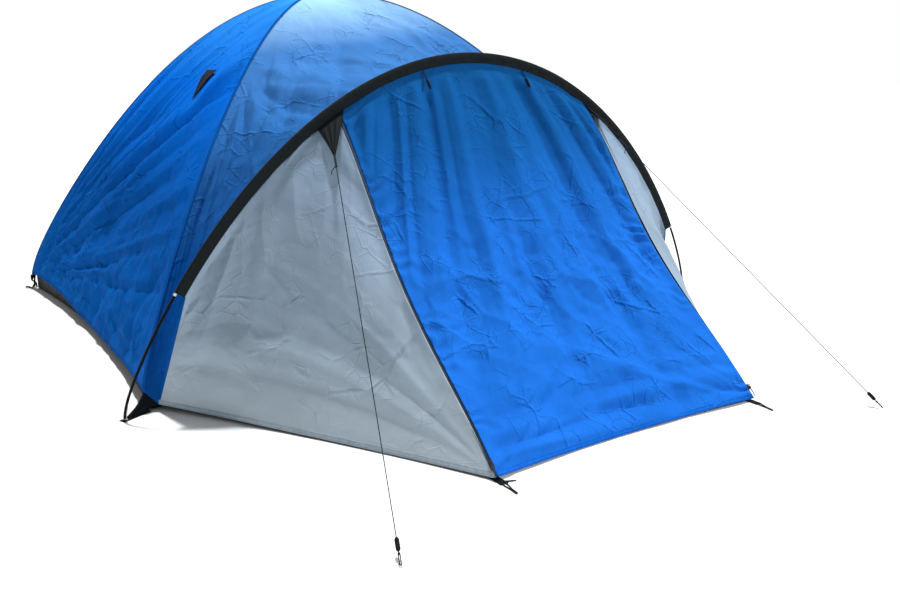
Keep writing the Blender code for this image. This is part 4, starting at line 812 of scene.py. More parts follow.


# Silver grey, palest near the ground and darker higher up.
grey = taffeta("grey polyester taffeta", [
    (0.05, "B0C0CC"), (0.3, "93A5B6"), (0.7, "869BB1"), (0.95, "8299B2")], creased=0.6)
for seed, (side, name) in enumerate(SIDES):
    seam = porch_seam(side)
    top, foot, up_way, across, out = zip_line(side)
    back_edge = halved(seam[:SEAM_AT_SLEEVE_END + 1])
    share = shares(len(back_edge))
    zip_edge = foot + across * ZIP_LAP + share * (top - foot) + slack(share)
    top_edge = seam[SEAM_AT_SLEEVE_END:SEAM_AT_ZIP + 1].copy()
    top_edge[-1] = zip_edge[-1]
    top_edge = halved(top_edge)
    over = shares(len(top_edge))
    hem_curve = SIDE_HEM_RISE * UP - SIDE_HEM_CURVE * (0.5 * FRONT + 0.86 * side * RIGHT)
    hem = back_edge[0] + over * (zip_edge[0] - back_edge[0]) + 4 * over * (1 - over) * hem_curve
    flat = fine(tight(filled(hem, top_edge, back_edge, zip_edge)), SIDE_ROWS, SIDE_COLUMNS)
    u, v = np.moveaxis(cloth_map(flat), -1, 0)
    rise, over = shares(SIDE_ROWS), shares(SIDE_COLUMNS).T
    inside = from_edges(over, 0.05) * smooth(np.minimum(rise + 0.02, 1 - rise) / 0.05)
    creases = summed(faceted, u, v, (0.13, 0.17, 71 + seed, 35, 2.2), (-0.13, 0.080, 75 + seed, -25, 2.4),
                     (0.07, 0.038, 79 + seed, 60, 1.8))
    creases = creases * (0.18 + 0.82 * smooth(rise * 2.2 - 0.2))
    half = u[0].max()
    fans = summed(pull_lines, u, v, (0.0260, half, 152, 0.30, 0.085, 0.90, 81 + seed),
                  (0.0120, -half, 45, 0.5, 0.12, 0.7, 83 + seed))
    puckers = 0.0016 * np.sin(v / 0.013 + 2 * ripple(u, v, 0.1, 0.1, 85 + seed)) * np.exp(-(1 - over) / 0.03)
    lap = ZIP_LIFT * np.exp(-((1 - over) * 2 * half / 0.014) ** 2)
    bulge = SIDE_BULGE * np.sin(math.pi * rise) ** 2 * np.exp(-((over - 0.84) / 0.13) ** 2)
    height = inside * (creases + fans) + puckers * smooth((1 - over) / 0.01) + lap + bulge
    side_panel, hem_grids["porch_" + name] = folded(
        "porch_cloth_" + name, flat, height, FRONT + UP + side * RIGHT, grey, merge=False)
    attached(side_panel, "root", "grey_polyester", "porch_side_" + name)

# Porch door.
# One bright blue leaf of taffeta, sewn under the sleeve and zipped down both sides. It hangs
# loosely from the hoop in long folds and is pulled tight to its pegged corners.
DOOR_HEM_RISE, DOOR_HEM_CURVE = -0.0080, 0.030
ZIP_OVER = 0.0058
DOOR_ROWS, DOOR_COLUMNS = 241, 201


def drapes(turn, along, seed):
    """Hanging folds: pleats of turn that wander along their length and are uneven in strength."""
    turn = turn + 0.45 * ripple(turn, along, 1.7, 0.9, seed)
    return pleated(turn) * (0.35 + 0.65 * smooth(0.5 + 0.9 * ripple(turn, along, 1.3, 0.5, seed + 1)))


# A clear bright blue, painted darker towards the hoop as the shade of the sleeve above it.
bright_blue = taffeta("bright blue polyester taffeta", [
    (0.05, "1F6CD0"), (0.5, "1F6ACA"), (0.8, "15599F"), (1.0, "13528F")])
top = both_legs(porch_seam(-1)[SEAM_AT_ZIP:], porch_seam(1)[SEAM_AT_ZIP:]) + FRONT * 0.00015
top = refined(top, DOOR_COLUMNS)
across = top[:, 0] / top[-1, 0]
hem = np.stack([across * (DOOR_WIDTH / 2 + ZIP_OVER), PORCH_FRONT + DOOR_HEM_CURVE * (1 - across ** 2),
                HEM_LIFT + DOOR_HEM_RISE * (1 - across ** 2)], axis=-1)
rise, over = shares(DOOR_ROWS), shares(DOOR_COLUMNS).T
flat = (1 - rise[..., None]) * hem[None] + rise[..., None] * top[None] + slack(rise)[:, None]
u, v = np.moveaxis(cloth_map(flat), -1, 0)
beside_zip = np.minimum(over, 1 - over)
inside = from_edges(over, 0.06) * smooth((1 - rise) / 0.06) * smooth((rise + 0.03) / 0.08)
# The long folds fall from the hoop and spread out towards both zips.
tall = v[-1, 0]
below = tall - v
lean = u / (1 + 0.95 * below) + 0.012 * ripple(u, v, 0.3, 0.4, 90)
hanging = 0.0250 * drapes(lean / 0.078, v, 91) + 0.0080 * drapes(lean / 0.031 + 0.3, v, 191)
hanging = hanging * smooth(below / 0.08) * (0.25 + 0.75 * smooth((1.20 - below) / 0.55))
# Where they end, 0.8 m down, the cloth is crumpled, and short folds rise from its hem.
creases = summed(faceted, u, v, (0.14, 0.14, 92, -35, 2.2), (-0.24, 0.070, 93, 30, 2.0),
                 (0.20, 0.034, 94, -60, 1.7))
creases = creases * (0.22 + 0.95 * np.exp(-((below - 0.80) / 0.23) ** 2))
hem_folds = 0.0105 * drapes(v / 0.045 + 0.9 * u, 2.2 * u, 192) * np.exp(-(v / 0.17) ** 2)
half = u[0].max()
fans = summed(pull_lines, u, v, (0.0440, half, 155, 0.42, 0.09, 0.60, 95),
              (0.0440, -half, 35, 0.50, 0.09, 0.60, 96))
puckers = 0.0062 * np.sin(v / 0.0085 + 4 * ripple(u, v, 0.1, 0.07, 97)) * np.exp(-beside_zip / 0.050)
puckers = puckers * (0.6 + ripple(v, u, 0.09, 1, 98))
lap = ZIP_LIFT * np.exp(-(beside_zip / 0.014) ** 2)
height = inside * (hanging + creases + fans + hem_folds) + puckers * from_edges(over, 0.012) + lap
door, hem_grids["door"] = folded("porch_door_cloth", flat, height, FRONT + UP, bright_blue, merge=False)
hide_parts("porch_door", "door_header")
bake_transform(door)

# Sleeve over the porch hoop.
# A flat sleeve of black coated oxford cloth that holds the hoop's pole against its outer edge.
# It is sewn along its inner edge to the dome, the porch and the door, and puckers there.
SLEEVE_HALF_WIDTH, SLEEVE_HALF_DEPTH, SLEEVE_GIRTH = 0.016, 0.0078, 0.078
SLEEVE_SIDES = 36

# Near black and matt, with its coarse weave just showing.
black_oxford = threaded("black oxford cloth", "1C2225", "0F1416", 0.0016)
turns = np.linspace(SLEEVE_END, math.pi / 2, 401)
centre = both_legs(hoop_centre(-1, turns), hoop_centre(1, turns))
outward = both_legs(hoop_outward(-1, turns), hoop_outward(1, turns))
run = run_of(centre)
angles = np.arange(SLEEVE_SIDES)[None, :] * 2 * math.pi / SLEEVE_SIDES
# Across the sleeve, h goes from -1 at the sewn edge to 1 outside: the pole fills the outer half.
h = np.cos(angles)
depth = SLEEVE_HALF_DEPTH * np.sign(np.sin(angles)) * np.abs(np.sin(angles)) ** 0.7
depth = depth * (0.40 + 0.60 * smooth((h + 0.8) / 1.3))
pucker = summed(ripple, run[:, None], angles, (0.0011, 0.028, 1.5, 101), (0.0006, 0.011, 1.5, 102))
pucker = pucker * (1.2 - 0.6 * smooth((h + 0.2) / 0.9))
reach = SLEEVE_HALF_WIDTH * h - 0.0030 * smooth(-h)
depth = depth + pucker * np.sin(angles)
grid = centre[:, None] + reach[..., None] * outward[:, None] + depth[..., None] * FRONT
uv = np.stack(np.meshgrid(np.linspace(0, SLEEVE_GIRTH, SLEEVE_SIDES + 1), run), axis=-1)
sleeve = surface("hoop_sleeve", grid, uv, black_oxford, wrap=(False, True), merge=True)
attached(sleeve, "root", "black_webbing", "porch_sleeve")

# Seams and hems.
# The panels are joined over the poles and at the porch by felled seams, and their lower edges are
# turned up and stitched. The same taffeta lies there in four layers, with thread 3 mm a stitch.
SEAM_WIDTH, SEAM_THICKNESS, SEAM_RISE = 0.010, 0.0016, 0.0004
HEM_WIDTH, HEM_THICKNESS = 0.016, 0.0024
PORCH_SEAM_THICKNESS = 0.0018
STITCH_SPACING, STITCH_SHARE, THREAD_WIDTH = 0.002, 0.0015, 0.0006
CORNERS = {"front_left": (-1, -1), "front_right": (1, -1), "rear_left": (-1, 1), "rear_right": (1, 1)}


def strap(name, path, across, width, thickness, material, closed=False):
    """A closed strap of cloth or webbing along a path.

    Its points lie sign(cos a) |cos a| ^ 0.4 half widths beside the path and
    sign(sin a) |sin a| ^ 0.7 half thicknesses above it, which makes a rounded oblong.
    """
    angles = (np.arange(12)[None] + 0.5) * math.pi / 6
    beside = np.sign(np.cos(angles)) * np.abs(np.cos(angles)) ** 0.4 / 2
    above = np.sign(np.sin(angles)) * np.abs(np.sin(angles)) ** 0.7 / 2
    width = np.broadcast_to(np.asarray(width, dtype=float), len(path))[:, None]
    places = np.append(beside, beside[0, 0]) * width.max()
    return swept(name, path, across, width * beside, thickness * above, places, material, closed)


def sewn(name, code, stitch_code, inset):
    """Taffeta turned over and stitched, with a line of lock stitch inset metres to each side of the middle.

    A stitch is 3 mm long with a gap of 1 mm, the size that still shows, and the cloth puckers, with painted
    shade in the hollows of its puckers.
    """
    material, tree, shader = new_material(name, {"Roughness": 0.5, "Specular IOR Level": 0.001})
    across, along = map_ways(tree)
    side = add_node(tree, "Math", {0: across}, operation="ABSOLUTE")
    near = add_node(tree, "Math", {0: side, 1: inset, 2: THREAD_WIDTH}, operation="COMPARE")
    stitch = add_node(tree, "Math", {0: along, 1: STITCH_SPACING}, operation="PINGPONG")
    dash = add_node(tree, "Math", {0: stitch, 1: STITCH_SHARE}, operation="LESS_THAN")
    thread = add_node(tree, "Math", {0: near, 1: dash}, operation="MULTIPLY")
    place = add_node(tree, "TexCoord").outputs["Object"]
    pucker = add_node(tree, "TexNoise", {"Scale": 90.0, "Detail": 3.0, "Vector": place})
    # Painted shade: the pucker noise darkens the colour where the cloth is sunk.
    shade = add_node(tree, "MapRange", {0: pucker, **MIDDLE_OF_NOISE, "To Min": 0.82, "To Max": 1.05})
    cloth = add_node(tree, "Mix", {0: 1.0, 6: linear(code), 7: shade}, data_type="RGBA",
                     blend_type="MULTIPLY")
    colour = add_node(tree, "Mix", {0: thread, 6: cloth.outputs[2], 7: linear(stitch_code)}, data_type="RGBA")
    relief = add_node(tree, "Math", {0: pucker, 1: thread}, operation="ADD")
    shown(tree, shader, colour, None, relief, 0.7, 0.0012)
    return material


# Each in its panel's colour, with short darker dashes where the thread lies.
royal_seam = sewn("felled seam in royal blue taffeta", "0F57A8", "0D4A96", 0.0032)
grey_seam = sewn("stitched hem in grey taffeta", "A6B6C2", "8496A5", 0.0045)
door_seam = sewn("stitched hem in bright blue taffeta", "1B68CF", "124F9F", 0.0045)
for name, corner in CORNERS.items():
    turns = np.linspace(FIRST_TURN, math.pi / 2 - 0.004, 140)
    path = main_line(corner, turns, OUTER_RISE, OUTER_OFFSET + SEAM_RISE)
    across = np.cross(main_outward(corner, turns, OUTER_RISE), unit(np.gradient(path, axis=0)))
    ridge_seam = strap("ridge_seam_" + name, path, across, SEAM_WIDTH, SEAM_THICKNESS, royal_seam)
    attached(ridge_seam, "root", "royal_blue_polyester")
HEM_FINISHES = {"outer": (royal_seam, "royal_blue_polyester"), "porch": (grey_seam, "grey_polyester"),
                "door": (door_seam, "bright_blue_polyester")}
for name, grid in hem_grids.items():
    # The turned hem lies on both faces of the cloth's lowest 16 mm and follows its folds.
    up_way = unit(grid[4] - grid[0])
    material, slot = HEM_FINISHES[name.split("_")[0]]
    path = grid[0] + up_way * HEM_WIDTH / 2
    turned_edge = strap("hem_" + name, path, up_way, HEM_WIDTH, HEM_THICKNESS, material)
    attached(turned_edge, "porch_door" if name == "door" else "root", slot)
for side, name in SIDES:
    seam = porch_seam(side)[:SEAM_AT_SLEEVE_END + 1]
    across = np.cross(unit(seam[-1] - seam[0]), 0.8 * side * RIGHT + 0.6 * FRONT)
    path = refined(seam, 60)
    porch_band = strap("porch_seam_" + name, path, across, SEAM_WIDTH, PORCH_SEAM_THICKNESS, royal_seam)
    attached(porch_band, "root", "royal_blue_polyester")

# Zips.
# A number 5 coil zip down each side of the door: blue woven polyester tape, and a nylon coil whose
# loops are drawn 2.4 mm apart so that they show. Its sliders and pulls are black nickel plated.
COIL_PITCH, COIL_HALF_WIDTH, COIL_HEIGHT, COIL_LIFT = 0.0024, 0.0023, 0.0021, 0.0008
COIL_STEPS, COIL_INSET = 6, 0.001
TAPE_THICKNESS = 0.0018

# Tape in a dulled blue, a coil of smoky nylon with a slight gloss, and dark metal with worn spots.
zip_tape = threaded("woven polyester zip tape", "34527E", "263E62", 0.0016)
coil_nylon = speckled("spun nylon zip coil", {"Roughness": 0.38, "IOR": 1.53, "Specular IOR Level": 0.2},
                      260.0, 3.0, "1E1F1E", "3A3935", relief=(260.0, 0.3, 0.0003))
black_nickel = speckled("black nickel plated zinc", {"Metallic": 1.0, "Roughness": 0.34},
                        1400.0, 3.0, "2A2B2E", "4C4E52", rough=(0.26, 0.44))
for side, name in SIDES:
    top, foot, up_way, across, out = zip_line(side)
    share = shares(60)
    path = foot + share * (top - foot) + slack(share)
    tape = strap("zip_tape_" + name, path, across, ZIP_TAPE_WIDTH, TAPE_THICKNESS, zip_tape)
    attached(tape, "root", "zip_tape", "zip_" + name)
    length = float(np.linalg.norm(top - foot))
    run = np.linspace(COIL_INSET, length - COIL_INSET, int(length / COIL_PITCH) * COIL_STEPS)[:, None]
    angles = np.linspace(0, math.pi, 9)[None, :]
    # Half an oval 4.6 mm wide, whose ridges slant like the loops that cross from side to side.
    ridge_wave = 0.5 + 0.5 * np.cos(2 * math.pi * run / COIL_PITCH + 2.2 * np.cos(angles))
    size = 0.86 + 0.14 * ridge_wave
    reach, lift = COIL_HALF_WIDTH * np.cos(angles) * size, COIL_LIFT + COIL_HEIGHT * np.sin(angles) * size
    grid = foot + run[..., None] * up_way + slack(run / length)[:, None]
    grid = grid + reach[..., None] * across + lift[..., None] * out
    uv = np.stack(np.broadcast_arrays(COIL_HALF_WIDTH * angles, run), axis=-1)
    attached(surface("zip_coil_" + name, grid, uv, coil_nylon, outside=out), "root", "zip_tape")
    repaint(black_nickel, "zip_slider_" + name, "zip_pull_" + name)

# Guy patches and tabs.
# Folded black reinforcing cloth, sewn under the sleeve beside each zip top and gathered to the
# cord. Three tapered tabs of the same cloth on the dome take storm guys.
PATCH_TURNS = (math.radians(66.2), math.radians(69.3))
PATCH_STAND_OFF, PATCH_LENGTH, PATCH_TIP = 0.0045, 0.150, 0.0042
PLEAT_HEIGHT, ROLL_HEIGHT, FLUTE_HEIGHT = 0.0020, 0.0040, 0.0010
TAB_LENGTH, TAB_WIDTH, TAB_TIP = 0.137, 0.110, 0.005
TAB_LIFT, TAB_TIP_LIFT, TAB_CURL = 0.0050, 0.006, 0.008
WEB_CLOTH, PATCH_CLOTH = 0.0012, 0.0014

# Matt black, with doubled threads that show as fine ribs.
black_web = threaded("black polypropylene webbing", "181E21", "0A0E10", 0.0022)
for side, name in SIDES:
    far, near = (hoop_line(side, turn, SEAM_INSET, PATCH_STAND_OFF) for turn in PATCH_TURNS)
    middle = (near + far) / 2
    heading = unit(np.array(GUY_ENDS[name][1]) - middle)
    tip = middle + heading * PATCH_LENGTH
    near = near + 0.20 * (near - far)
    middle = (near + far) / 2
    normal = unit(np.cross(far - near, heading))
    normal = -normal * np.sign(normal[1])
    beside = np.cross(heading, normal)
    beside = beside * np.sign(np.dot(beside, near - far))
    down = shares(61)
    over = np.linspace(-1, 1, 41)[None, :]
    half = 0.5 * (1 - down) ** 1.15 * np.linalg.norm(near - far) + PATCH_TIP
    way = unit((1 - down)[..., None] * unit(near - far) + down[..., None] * beside)
    pleats = PLEAT_HEIGHT * np.cos(3.5 * math.pi * over + 0.6) * smooth(down / 0.35) * (1 - 0.35 * down)
    roll = ROLL_HEIGHT * (1 - over ** 2) * smooth(down / 0.3)
    flute = FLUTE_HEIGHT * ripple(over * 0.05, down * 0.15, 0.02, 0.05, 120)
    grid = (1 - down)[..., None] * middle + down[..., None] * tip
    grid = grid + (half * over)[..., None] * way + (pleats + roll + flute)[..., None] * normal
    patch = surface("guy_patch_cloth_" + name, grid, cloth_map(grid), black_web, outside=normal)
    attached(thickened(patch, WEB_CLOTH), "root", "black_webbing", "guy_patch_" + name)
for name, column in TAB_COLUMNS.items():
    flat = outer_cloth(name)[0]
    sewn_on, below = flat[TAB_ROW, column], flat[TAB_ROW - 24, column]
    down_way = unit(below - sewn_on)
    beside = unit(flat[TAB_ROW, column + 4] - flat[TAB_ROW, column - 4])
    out = np.cross(down_way, beside)
    out = out * np.sign(out[2])
    down = shares(49)
    over = np.linspace(-1, 1, 33)[None, :]
    half = 0.5 * (TAB_WIDTH + (TAB_TIP - TAB_WIDTH) * down)
    # Its free edges curl out a little, and it stands off the panel towards its tip.
    lift = TAB_LIFT + TAB_TIP_LIFT * down + TAB_CURL * over ** 2 * smooth(down / 0.4) * (1 - down)
    grid = sewn_on + down[..., None] * TAB_LENGTH * down_way + (half * over)[..., None] * beside
    grid = grid + lift[..., None] * out
    tab = surface("guy_tab_cloth_" + name, grid, cloth_map(grid), black_web, outside=out)
    attached(thickened(tab, WEB_CLOTH), "root", "black_webbing", "guy_tab_" + name)

# Moulded runners and toggles.
# Black nylon 6, moulded with a fine spark-eroded skin, and duller in random spots.
# The runners tighten the guy lines, and the toggles hold the rolled door.
nylon = speckled("moulded black nylon", {"Roughness": 0.42, "IOR": 1.53, "Specular IOR Level": 0.05},
                 180.0, 4.0, "0D0E10", "1D1F22", rough=(0.34, 0.58), relief=(1600.0, 0.3, 0.0002))
repaint(nylon, "guy_runner_left", "guy_runner_right", "toggle_left", "toggle_right")

# Toggle elastics.
# A loop of braided elastic 2 mm thick, sewn into the sleeve's seam, that carries each toggle.
ELASTIC_RADIUS, ELASTIC_LENGTH, ELASTIC_WIDTH = 0.0010, 0.0325, 0.0046

# A near black braid, finer than the guy line's.
elastic = threaded("braided elastic cord", "1E2023", "0B0C0E", 0.0016, 0.72, 0.6, braid=True)
for side, name in SIDES:
    low, high = (np.array(corner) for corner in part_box("toggle_loop_" + name))
    down_way = unit((low - high) * (UP - FRONT))
    start = (low + high) / 2 - down_way * 0.016
    path = loop_path(start, down_way, RIGHT, ELASTIC_LENGTH, ELASTIC_WIDTH)
    loop = tube("toggle_elastic_" + name, path, ELASTIC_RADIUS, np.cross(down_way, RIGHT), LOOP_SIDES,
                elastic, closed=True)
    attached(loop, "toggle_" + name, "black_elastic", "toggle_loop_" + name)

# Door corner webbing and peg loops.
# Black webbing 25 mm wide, sewn under each lower corner of the door, with a loop of 3.6 mm cord for
# the peg. The cord's two strands meet where they have been pulled tight round a peg.
WEB_WIDTH, WEB_THICKNESS, WEB_HEIGHT = 0.025, 0.0022, 0.0012
TAIL_START, TAIL_WAY, TAIL_DROP, TAIL_WIDTH = (-0.500, -1.3885, 0.0034), (0.040, -0.0150, 0.0), 0.0022, 0.010
TAIL_THICKNESS = 0.0016
WEB_OFFSET, WEB_START, WEB_END, LOOP_END = 0.497, -1.29965, -1.40465, -1.46465
LOOP_START = WEB_END + 0.010
PEG_CORD_RADIUS, PEG_CORD_GAP, PEG_CORD_HALF = 0.0018, 0.0021, 0.0080


def webbing(name, path, across, node):
    """A length of webbing on the ground, in place of a CAD node."""
    piece = strap(name, path, across, WEB_WIDTH, WEB_THICKNESS, black_web)
    attached(piece, "root", "black_webbing", node)


# The same braid as the guy line's, thicker and darker.
peg_cord = threaded("braided black peg cord", "2C2F31", "101214", 0.0030, 0.72, 0.6, braid=True)
for (side, name), lean in zip(SIDES, (-0.006, -0.010)):
    path = np.array([side * WEB_OFFSET, WEB_START, WEB_HEIGHT]) + shares(40) * (WEB_START - WEB_END) * FRONT
    webbing("door_webbing_" + name, path, RIGHT, "door_corner_webbing_" + name)
    turn = np.linspace(0, 2 * math.pi, 97)[:-1, None]
    reach = 0.5 - 0.5 * np.cos(turn)
    width = PEG_CORD_HALF * np.sin(turn) * (1 - 0.78 * smooth(reach * 1.35))
    least = np.sign(np.sin(turn)) * PEG_CORD_GAP * smooth(np.abs(np.sin(turn)) * 6)
    width = np.where(np.abs(width) < PEG_CORD_GAP, least, width)
    path = np.concatenate([side * WEB_OFFSET + width + lean * reach,
                           LOOP_START - (LOOP_START - LOOP_END - 0.002) * reach,
                           0.0021 + 0.0016 * (1 - smooth(reach * 5))], axis=-1)
    loop = tube("peg_cord_" + name, path, PEG_CORD_RADIUS, UP, LOOP_SIDES, peg_cord, closed=True)
    attached(loop, "root", "black_webbing", "peg_loop_" + name)
# The left webbing's end is left long and lies across the corner.
share = shares(24)
path = np.array(TAIL_START) + share * np.array(TAIL_WAY) - UP * TAIL_DROP * smooth(share / 0.5)
width = TAIL_WIDTH * (1 - 0.45 * share[:, 0] ** 2)
web_tail = strap("door_webbing_tail", path, np.array([0.35, 1.0, 0.0]), width, TAIL_THICKNESS, black_web)
attached(web_tail, "root", "black_webbing")

# Corner webbing and patches.
# Webbing joins the pole feet at each front corner and holds the ground sheet's corner and a peg at
# the rear. A patch of the same black cloth ties the outer sheet down to it, pulled into folds.
GROUND = np.array([1.0, 1.0, 0.0])
FOOT_LAP = 0.010
PATCH_LIFT, FOLD_HEIGHT, REAR_FOLD_HEIGHT = 0.0030, 0.0032, 0.0025
HOLE_PLACE, SHEET_LAP, TAPE_WIDTH, PATCH_TAPE_THICKNESS = 0.0325, 0.0165, 0.012, 0.0016
INNER_OFFSET = -0.00815
PEG_HOLE_RADIUS, PEG_RING_WIDTH = 0.0083, 0.0078


def sheet_foot(corner):
    """The lowest point of the outer sheet at a corner, with a little cloth turned in."""
    return main_line(corner, np.array([FIRST_TURN]), OUTER_RISE, OUTER_OFFSET)[0] - UP * 0.002


def sew_patch(name, grid, outside):
    """A reinforcing patch of webbing cloth at a corner."""
    patch = surface("corner_patch_" + name, grid, cloth_map(grid), black_web, outside=outside)
    attached(thickened(patch, PATCH_CLOTH), "root", "black_webbing")


for side, name in ((-1, "front_left"), (1, "front_right")):
    main_foot = main_line((side, -1), leg[:1], LOWER_RISE)[0] * GROUND
    hoop_foot = hoop_line(side, leg[:1], HOOP_PUSH)[0] * GROUND
    heading = unit(hoop_foot - main_foot)
    start = main_foot - heading * FOOT_LAP + UP * WEB_HEIGHT
    path = start + shares(40) * (hoop_foot - main_foot + heading * 2 * FOOT_LAP)
    webbing("corner_web_" + name, path, np.cross(UP, heading), "corner_webbing_" + name)
    down, over = shares(41)[..., None], shares(41).T[..., None]
    upper = (1 - over) * sheet_foot((side, -1)) + over * (porch_seam(side)[0] - UP * 0.002)
    outer_end = main_foot + heading * 0.085 + UP * PATCH_LIFT
    inner_end = main_foot + FRONT * 0.011 - heading * 0.006 + UP * PATCH_LIFT
    lower = (1 - over) * outer_end + over * inner_end
    middle = upper.mean(axis=1, keepdims=True) * (1 - down) + lower.mean(axis=1, keepdims=True) * down
    flat = (1 - down) * upper + down * lower
    flat = middle + (flat - middle) * (1 - 0.22 * np.sin(math.pi * down))
    height = FOLD_HEIGHT * np.sin(4.2 * math.pi * over + 1.5 * down) * np.sin(math.pi * down) ** 0.6
    outside = np.array([side * 0.6, -0.8, 0.2])
    sew_patch(name, flat + height * outside, outside)
for side, name in ((-1, "rear_left"), (1, "rear_right")):
    corner = (side, 1)
    main_foot = main_line(corner, leg[:1], LOWER_RISE)[0] * GROUND
    sheet_corner = main_line(corner, np.array([FIRST_TURN]), LOWER_RISE, INNER_OFFSET)[0] * GROUND
    heading = unit(main_foot - sheet_corner)
    across = np.cross(UP, heading)
    hole = main_foot + heading * HOLE_PLACE
    # The webbing is a strap up to the hole, with a stitched ring of webbing round the hole.
    share = shares(30)
    start = sheet_corner + heading * SHEET_LAP
    path = start + share * (hole - heading * 0.0085 - start) + UP * (WEB_HEIGHT + 0.016 * (1 - share) ** 3)
    webbing("corner_web_" + name, path, across, "corner_webbing_" + name)
    turn = np.linspace(0, 2 * math.pi, 49)[:-1, None]
    path = hole + PEG_HOLE_RADIUS * (np.cos(turn) * heading + np.sin(turn) * across)
    path = path + UP * (WEB_HEIGHT + 0.0045 * smooth(0.5 + 0.5 * np.cos(turn)))
    ring = strap("peg_ring_" + name, path, path - hole - UP * WEB_HEIGHT, PEG_RING_WIDTH, WEB_THICKNESS,
                 black_web, closed=True)
    attached(ring, "root", "black_webbing")
    # The patch narrows to a tape, which goes down inside the pole to the webbing.
    fly = sheet_foot(corner)
    out = unit(main_outward(corner, np.array([FIRST_TURN]), OUTER_RISE)[0] * GROUND)
    beside = np.cross(UP, out)
    low = fly + 0.42 * (main_foot - fly)
    share = shares(16)
    path = low + out * (0.006 - 0.017 * smooth(share * 3)) + share * (main_foot - low + UP * 0.003)
    tape = strap("corner_tape_" + name, path, beside, TAPE_WIDTH, PATCH_TAPE_THICKNESS, black_web)
    attached(tape, "root", "black_webbing")
    down, over = shares(31)[..., None], np.linspace(-1, 1, 25)[None, :, None]
    upper = fly + out * 0.0015 + over * beside * 0.014
    lower = low + out * 0.0075 + over * beside * 0.0065
    height = REAR_FOLD_HEIGHT * np.cos(3 * math.pi * over) * np.sin(math.pi * down)
    sew_patch(name, (1 - down) * upper + down * lower + height * out, out)

# Inner tent.
# Four light walls hung from sleeves on the main poles, in uncoated grey polyester that breathes,
# with black insect mesh at the rear. A zipped door in the front wall falls into the porch.
FLOOR_PULL, INNER_PULL = 0.060, 0.095
DOOR_HALF, DOOR_SILL, DOOR_TALL, DOOR_ROUND, DOOR_SLIT = 0.430, 0.100, 0.620, 0.300, 0.003
INNER_SLEEVE_RADIUS = 0.0067
BINDING_THICKNESS = 0.0016


def crushed(u, v, size, seed, stretch=1.0):
    """Crushed cloth: hollows that meet in straight raised creases.

    The height is the distance to the nearest of one random point in each cell of a lattice, which
    is hollow round the points and has its creases halfway between them.
    """
    offset = np.random.default_rng(seed).uniform(0, 1, (2, 64, 64))
    x, y = u / size, v / (size * stretch)
    i, j = np.floor(x).astype(int), np.floor(y).astype(int)
    nearest = np.full(np.shape(x), 9.0)
    for a in (-1, 0, 1):
        for b in (-1, 0, 1):
            across, along = offset[:, (i + a) % 64, (j + b) % 64]
            nearest = np.minimum(nearest, (i + a + across - x) ** 2 + (j + b + along - y) ** 2)
    return np.sqrt(nearest + 0.03) - 0.5


def inner_panel(name, rows, columns):
    """A wall of the inner tent before its folds, as dome_panel() gives it."""
    return dome_panel(name, INNER_OFFSET, LOWER_RISE, FLOOR_PULL, INNER_PULL, rows, columns)


# Pale matt grey that lets light through between its threads, and mesh that looks almost black. Both are
# painted darker in the hollows between their threads, as shade.
inner_cloth = threaded("breathable grey polyester", "B4BBC2", "9CA4AD", 0.0015)
insect_mesh = threaded("black insect mesh", "34373A", "0B0C0D", 0.0022)
for seed, name in enumerate(("left", "right", "rear")):
    flat, up, over, inward = inner_panel(name, 91, 101)
    u, v = np.moveaxis(cloth_map(flat), -1, 0)
    inside = from_edges(over[..., 0], 0.1) * smooth((1 - up[..., 0]) / 0.15)
    height = 0.004 * crushed(u, v, 0.2, 130 + seed, 1.6) + 0.006 * ripple(u, v, 0.11, 0.8, 135 + seed)
    material, slot = (insect_mesh, "inner_mesh") if name == "rear" else (inner_cloth, "inner_cloth")
    wall, _ = folded("inner_cloth_" + name, flat, inside * height, UP - 2 * inward, material)
    attached(wall, "root", slot, "inner_wall_" + name)


def front_wall(plan):
    """Points of the front wall above x and z: straight across between the poles, pulled in by 4s(1 - s)."""
    turns = np.linspace(FIRST_TURN, math.pi / 2, 400)
    pole = main_line((1, -1), turns, LOWER_RISE, INNER_OFFSET)
    up = (turns - FIRST_TURN) / (math.pi / 2 - FIRST_TURN)
    pull = FLOOR_PULL * (1 - up) + INNER_PULL * np.sin(math.pi * up)
    x, z = plan[..., 0], plan[..., 1]
    half, back, depth = (np.interp(z, pole[:, 2], line) for line in (pole[:, 0], pole[:, 1], pull))
    over = 0.5 + 0.5 * x / np.maximum(half, 1e-6)
    return np.stack([x, back + 4 * over * (1 - over) * depth, z], axis=-1)


def mirrored(right):
    """An outline in x and z from its right half, which starts and ends on the middle line."""
    return np.vstack([right, right[-2:0:-1] * np.array([-1.0, 1.0])])


def doorway(gap):
    """The doorway's outline in x and z from the sill's middle round, with quarter-round upper corners."""
    half, low, radius = DOOR_HALF - gap, DOOR_SILL + gap, DOOR_ROUND - gap
    high = DOOR_SILL + DOOR_TALL - gap
    turns = np.linspace(0, math.pi / 2, 31)
    arc = np.stack([half - radius + radius * np.cos(turns), high - radius + radius * np.sin(turns)], axis=-1)
    sill = np.stack([np.linspace(0, half, 21), np.full(21, low)], axis=-1)
    post = np.stack([np.full(19, half), np.linspace(low, high - radius, 21)[1:-1]], axis=-1)
    lintel = np.stack([np.linspace(half - radius, 0, 11)[1:], np.full(10, high)], axis=-1)
    return mirrored(np.vstack([sill, post, arc, lintel]))


def front_piece(name, plan, inside, size, length, seed, merge=False):
    """A piece of the front wall with soft creases, and its flat area; plan holds closed rings in x and z."""
    flat = front_wall(plan)
    x, z = plan[..., 0], plan[..., 1]
    height = inside * (0.005 * crushed(x, z, size, seed) + 0.004 * ripple(x, z, 0.1, length, seed + 1))
    grid = flat + height[..., None] * FRONT
    uv = np.concatenate([plan, plan[:, :1]], axis=1)
    piece = surface(name, grid, uv, inner_cloth, wrap=(False, True), outside=FRONT, merge=merge)
    return thickened(piece), flat_area(np.concatenate([flat, flat[:, :1]], axis=1))


